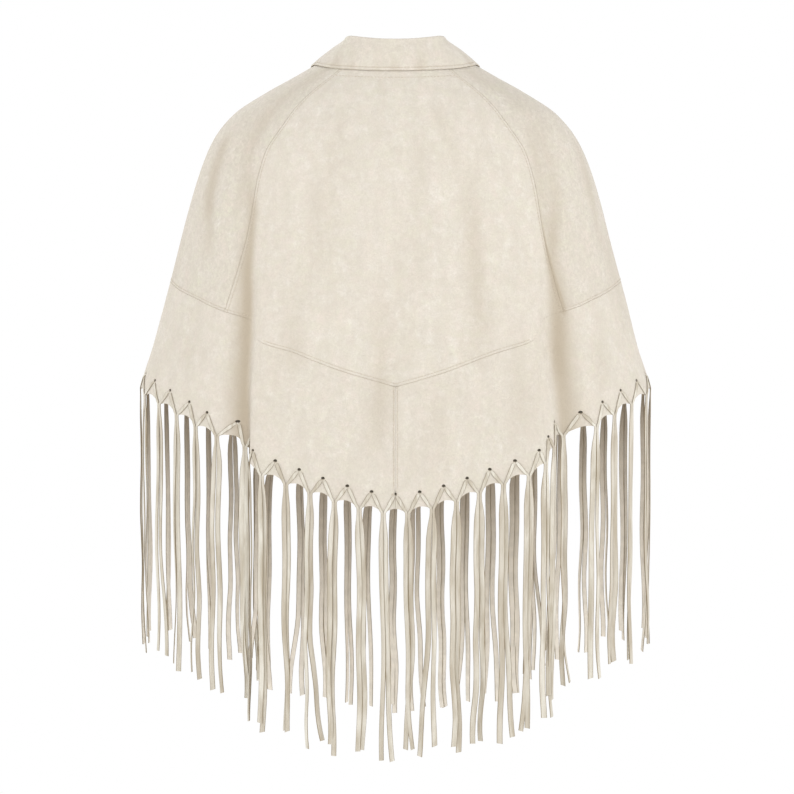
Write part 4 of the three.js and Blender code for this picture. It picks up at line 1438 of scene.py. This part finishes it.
def stitch_tree():
    """Geometry Nodes: one raised stitch after another along each row."""
    tree = bpy.data.node_groups.new("Stitch rows", "GeometryNodeTree")
    sockets = {
        "Geometry": "NodeSocketGeometry", "Spacing": "NodeSocketFloat", "Length": "NodeSocketFloat",
        "Width": "NodeSocketFloat", "Thread": "NodeSocketMaterial",
    }
    for name, kind in sockets.items():
        tree.interface.new_socket(name, in_out="INPUT", socket_type=kind)
    tree.interface.new_socket("Geometry", in_out="OUTPUT", socket_type="NodeSocketGeometry")
    given = add_node(tree, "NodeGroupInput").outputs

    def step(kind, settings=None, **inputs):
        return add_node(tree, kind, settings, inputs).outputs[0]

    curve = step("GeometryNodeMeshToCurve", Mesh=given["Geometry"])
    spaced = step("GeometryNodeResampleCurve", {"mode": "LENGTH"}, Curve=curve, Length=given["Spacing"])
    tangent = step("GeometryNodeInputTangent")
    turned = step("FunctionNodeAlignRotationToVector", {"axis": "X"}, Vector=tangent)
    ball = step("GeometryNodeMeshUVSphere", Segments=6, Rings=4, Radius=0.5)
    size = step("ShaderNodeCombineXYZ", X=given["Length"], Y=given["Width"], Z=given["Width"])
    stitches = step(
        "GeometryNodeInstanceOnPoints", Points=spaced, Instance=ball, Rotation=turned, Scale=size
    )
    real = step("GeometryNodeRealizeInstances", Geometry=stitches)
    smooth = step("GeometryNodeSetShadeSmooth", Geometry=real)
    threaded = step("GeometryNodeSetMaterial", Geometry=smooth, Material=given["Thread"])
    add_node(tree, "NodeGroupOutput", None, {0: threaded})
    return tree


def sew(rows):
    """Makes the stitches of all rows as one piece."""
    thread = bpy.context.scene.poncho_thread
    edges, count = [], 0
    for row in rows.values():
        edges += [(count + i, count + i + 1) for i in range(len(row) - 1)]
        count += len(row)
    mesh = bpy.data.meshes.new("stitching")
    mesh.from_pydata((np.concatenate(list(rows.values())) * MM).tolist(), edges, [])
    piece = add_object("stitching", mesh)
    stitches = piece.modifiers.new("Stitches", "NODES")
    stitches.node_group = stitch_tree()
    values = {
        "Spacing": thread.spacing, "Length": thread.length, "Width": thread.width,
        "Thread": thread_material(),
    }
    for item in stitches.node_group.interface.items_tree:
        if item.in_out == "INPUT" and item.name in values:
            stitches[item.identifier] = values[item.name]
    if not len(plain_mesh(piece).polygons):
        raise RuntimeError("the stitch rows gave no stitches")
    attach(piece, "root")


# Properties


def colour_property(name, description, value):
    return bpy.props.FloatVectorProperty(
        name=name, description=description, subtype="COLOR", size=3, min=0, max=1, default=linear(value)
    )


def size_property(name, description, value, unit="LENGTH"):
    return bpy.props.FloatProperty(name=name, description=description, default=value, unit=unit)


class PonchoCloth(bpy.types.PropertyGroup):
    """Sizes of the suede pieces."""

    wall: size_property("Suede thickness", "Thickness of the suede", 0.0015)
    seam_gap: size_property("Seam gap", "Gap between two pieces at a seam", 0.0002)
    cell: size_property("Mesh cell", "Width of one cell of the cloth's mesh", 0.0036)


class PonchoThread(bpy.types.PropertyGroup):
    """Sizes of the topstitching."""

    spacing: size_property("Stitch spacing", "From one stitch to the next", 0.0042)
    length: size_property("Stitch length", "Length of one stitch", 0.0033)
    width: size_property("Thread width", "Width of the thread", 0.0008)


class PonchoColours(bpy.types.PropertyGroup):
    """Colours of the suede, thongs and thread."""

    suede: colour_property("Suede", "Raised nap of the suede", "#e8e3da")
    suede_shade: colour_property("Suede shade", "Nap brushed the other way", "#d0c8bb")
    # The pressed colour is also the colour of the painted shade in fold valleys, creases, under the
    # knots and in the holes.
    crease: colour_property("Pressed suede", "Suede pressed flat at seams and stitch rows", "#b3a692")
    flesh: colour_property("Flesh side", "Inner side of the suede", "#c9beab")
    # The cut edge's colour is partly its own tone and partly painted shade along the thongs' edges.
    cut_edge_and_painted_shade: colour_property("Cut edge", "Cut edge of the thongs", "#94866f")
    thong_flesh: colour_property("Thong flesh side", "Inner side of the thongs", "#ede6da")
    thong: colour_property("Thong", "Raised nap of the thongs", "#dfdbd0")
    thong_shade: colour_property("Thong shade", "Thong nap brushed the other way", "#b9b09f")
    thread: colour_property("Thread", "Topstitching thread", "#d0c5b4")


class PonchoStage(bpy.types.PropertyGroup):
    """Camera and light."""

    distance: size_property("Camera distance", "From the garment's middle to the camera", 4.5)
    eye: size_property("Camera height", "Height of the camera over the origin", -0.15)
    aim: size_property("Aim height", "Height that the camera looks at", -0.431)
    lens: size_property("Lens", "Focal length in millimetres", 157.2, "NONE")
    floor: size_property("Floor height", "Height of the floor", -1.4)
    key: size_property("Key light", "Power of the large soft light", 40.0, "NONE")


# Operators


class PONCHO_OT_upper_pieces(bpy.types.Operator):
    """Makes the upper back, the shoulder pieces and the upper fronts"""

    bl_idname = "poncho.upper_pieces"
    bl_label = "Upper pieces"

    def execute(self, context):
        plain = (PLAIN_EDGE, PLAIN_EDGE, RAW_EDGE, SEWN_EDGE)
        sewn = (SEWN_EDGE, SEWN_EDGE, RAW_EDGE, SEWN_EDGE)
        down = slice(2, -3)
        v_row = {"v_seam": (-1 - SEWN_LINE, slice(3, -3))}
        back = [seam_line(BACK_SHOULDER_SEAM, side) for side in (-1, 1)]
        sides = {"right_seam": (down, SEWN_LINE), "left_seam": (down, -1 - SEWN_LINE)}
        upper_piece("upper_back", (-BACK_SEAM_FOOT, BACK_SEAM_FOOT), back, sewn, {**sides, **v_row})
        for word, side in (("left", 1), ("right", -1)):
            feet = [side * foot for foot in (BACK_SEAM_FOOT, FRONT_SEAM_FOOT, CENTRE_FRONT)]
            tables = (BACK_SHOULDER_SEAM, FRONT_SHOULDER_SEAM, NECK_SLIT)
            seams = [seam_line(table, side) for table in tables]
            rows = {"v_seam": (-1 - SEWN_LINE, slice(2, -2))}
            upper_piece(f"shoulder_{word}", feet[:2], seams[:2], plain, rows)
            rows = {"shoulder_seam": (down, SEWN_LINE), "centre": (slice(None), -1 - SEWN_LINE)}
            upper_piece(f"upper_front_{word}", feet[1:], seams[1:], sewn, {**rows, **v_row})
        at = np.linspace(-UNDER_COLLAR_END, UNDER_COLLAR_END, 160)
        z = read(LEAF_EDGE, "at", "z", np.abs(at)) - UNDER_COLLAR_DROP
        sew_along("under_collar", on_cloth(at, z, np.full(at.shape, UNDER_COLLAR_LIFT)), 0)
        return {"FINISHED"}


class PONCHO_OT_lower_pieces(bpy.types.Operator):
    """Makes the two lower panels with their lace holes and lobed hem"""

    bl_idname = "poncho.lower_pieces"
    bl_label = "Lower panels"

    def execute(self, context):
        lower_piece("lower_left", 1)
        lower_piece("lower_right", -1)
        return {"FINISHED"}


class PONCHO_OT_collar(bpy.types.Operator):
    """Makes the collar stand and the turned-down leaf"""

    bl_idname = "poncho.collar"
    bl_label = "Collar"

    def execute(self, context):
        collar_stand()
        collar_leaf()
        return {"FINISHED"}


class PONCHO_OT_thongs(bpy.types.Operator):
    """Laces a thong through each hole of the hem and lets its two ends hang"""

    bl_idname = "poncho.thongs"
    bl_label = "Thongs"

    def execute(self, context):
        for name, (first, last) in FRINGE_RUNS.items():
            thong_run(name, first, last)
        return {"FINISHED"}


class PONCHO_OT_stitching(bpy.types.Operator):
    """Sews the topstitch rows that the pieces have left"""

    bl_idname = "poncho.stitching"
    bl_label = "Stitching"

    def execute(self, context):
        if not stitch_rows:
            raise RuntimeError("make the cloth pieces before the stitching")
        sew(stitch_rows)
        return {"FINISHED"}


class PONCHO_OT_stage(bpy.types.Operator):
    """Sets the camera, the light, the pale floor and the white surroundings"""

    bl_idname = "poncho.stage"
    bl_label = "Stage"

    def execute(self, context):
        stage = context.scene.poncho_stage
        add_camera(stage)
        add_floor(stage)
        for name, place, aim, size, share in LIGHTS:
            add_light(name, place, (0, 0, aim), size, stage.key * share)
        add_surroundings()
        context.scene.view_settings.view_transform = "Standard"
        return {"FINISHED"}


# Soft lights: name, place, height that each is aimed at, width, and share of the key light's power
LIGHTS = [
    ("key_light", (-0.7, 3.2, 0.9), -0.35, 1.6, 1),
    ("front_light", (1.6, -2.8, 1.6), -0.4, 2.4, 1.15),
    ("left_light", (3.1, 0.9, 0.2), -0.4, 1.8, 0.5),
    ("right_light", (-3.1, 0.9, 0.2), -0.4, 1.8, 0.4),
]
# Place of the camera across, in metres, and the floor's radius in millimetres and its corners
CAMERA_ACROSS = -0.002
FLOOR_RADIUS = 2100
FLOOR_CORNERS = 96


def add_camera(stage):
    data = bpy.data.cameras.new("camera")
    data.lens = stage.lens
    camera = add_object("camera", data)
    camera.location = (CAMERA_ACROSS, stage.distance, stage.eye)
    tilt = math.atan2(stage.aim - stage.eye, stage.distance)
    camera.rotation_euler = (math.pi / 2 + tilt, 0, math.pi)
    bpy.context.scene.camera = camera


def add_light(name, place, target, size, power):
    data = bpy.data.lights.new(name, "AREA")
    data.shape = "SQUARE"
    data.size = size
    data.energy = power
    light = add_object(name, data)
    way = np.array(target, float) - np.array(place, float)
    flat = math.hypot(way[0], way[1])
    light.location = place
    light.rotation_euler = (math.pi / 2 + math.atan2(way[2], flat), 0, math.atan2(-way[0], way[1]))


def add_floor(stage):
    """A round floor in matt white paint: it gives the views from above a pale, even ground.

    It lies low enough to stay out of the first view.
    """
    material, tree, place = start_material("matt_paint_white")
    grain = clouds(tree, place, 0.01, 2.0, 0.3, 0.7)
    colour = layered(tree, linear("#f4f3f1"), [(grain, linear("#f7f6f4"))])
    shader = add_node(
        tree, "ShaderNodeBsdfPrincipled", None, {"Base Color": colour, "Roughness": 0.9}
    )
    add_node(tree, "ShaderNodeOutputMaterial", None, {"Surface": shader.outputs[0]})
    turns = np.linspace(0, 2 * math.pi, FLOOR_CORNERS, endpoint=False)
    ring = FLOOR_RADIUS * np.stack([np.cos(turns), np.sin(turns)], -1)
    points = np.column_stack([ring, np.full(FLOOR_CORNERS, stage.floor / MM)])
    floor = make_piece("floor", points, [range(FLOOR_CORNERS)], [material])


def add_surroundings():
    """A white room: as bright as paper at eye level, dimmer above and below."""
    world = bpy.context.scene.world
    if world is None:
        world = bpy.data.worlds.new("white_room")
        bpy.context.scene.world = world
    world.use_nodes = True
    tree = world.node_tree
    tree.nodes.clear()
    way = add_node(tree, "ShaderNodeTexCoord").outputs["Generated"]
    height = add_node(tree, "ShaderNodeSeparateXYZ", None, {"Vector": way}).outputs["Z"]
    below = ramp(tree, height, -1.0, -0.3, 0.35, 1.0)
    above = ramp(tree, height, 0.15, 1.0, 1.0, 0.52)
    strength = multiply(tree, below, above)
    light = add_node(
        tree, "ShaderNodeBackground", None, {"Color": (1.0, 1.0, 1.0, 1.0), "Strength": strength}
    )
    add_node(tree, "ShaderNodeOutputWorld", None, {"Surface": light.outputs[0]})


OPERATORS = [
    PONCHO_OT_stage, PONCHO_OT_upper_pieces, PONCHO_OT_lower_pieces,
    PONCHO_OT_collar, PONCHO_OT_thongs, PONCHO_OT_stitching,
]


class PONCHO_PT_panel(bpy.types.Panel):
    """Lists the sizes, the colours and the steps that build the poncho"""

    bl_idname = "PONCHO_PT_panel"
    bl_label = "Fringed suede poncho"
    bl_space_type = "VIEW_3D"
    bl_region_type = "UI"
    bl_category = "Poncho"

    def draw(self, context):
        for group in GROUPS:
            box = self.layout.box()
            values = getattr(context.scene, group)
            for name in values.__annotations__:
                box.prop(values, name)
        for operator in OPERATORS:
            self.layout.operator(operator.bl_idname)


GROUPS = {
    "poncho_cloth": PonchoCloth,
    "poncho_thread": PonchoThread,
    "poncho_colours": PonchoColours,
    "poncho_stage": PonchoStage,
}


def register():
    for kind in [*GROUPS.values(), *OPERATORS, PONCHO_PT_panel]:
        bpy.utils.register_class(kind)
    for name, kind in GROUPS.items():
        setattr(bpy.types.Scene, name, bpy.props.PointerProperty(type=kind))


def unregister():
    for name in GROUPS:
        delattr(bpy.types.Scene, name)
    for kind in reversed([*GROUPS.values(), *OPERATORS, PONCHO_PT_panel]):
        bpy.utils.unregister_class(kind)


def main():
    """Builds the poncho."""
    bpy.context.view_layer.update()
    register()
    bpy.ops.poncho.stage()
    bpy.ops.poncho.upper_pieces()
    bpy.ops.poncho.lower_pieces()
    bpy.ops.poncho.collar()
    bpy.ops.poncho.thongs()
    bpy.ops.poncho.stitching()


if __name__ == "__main__":
    main()
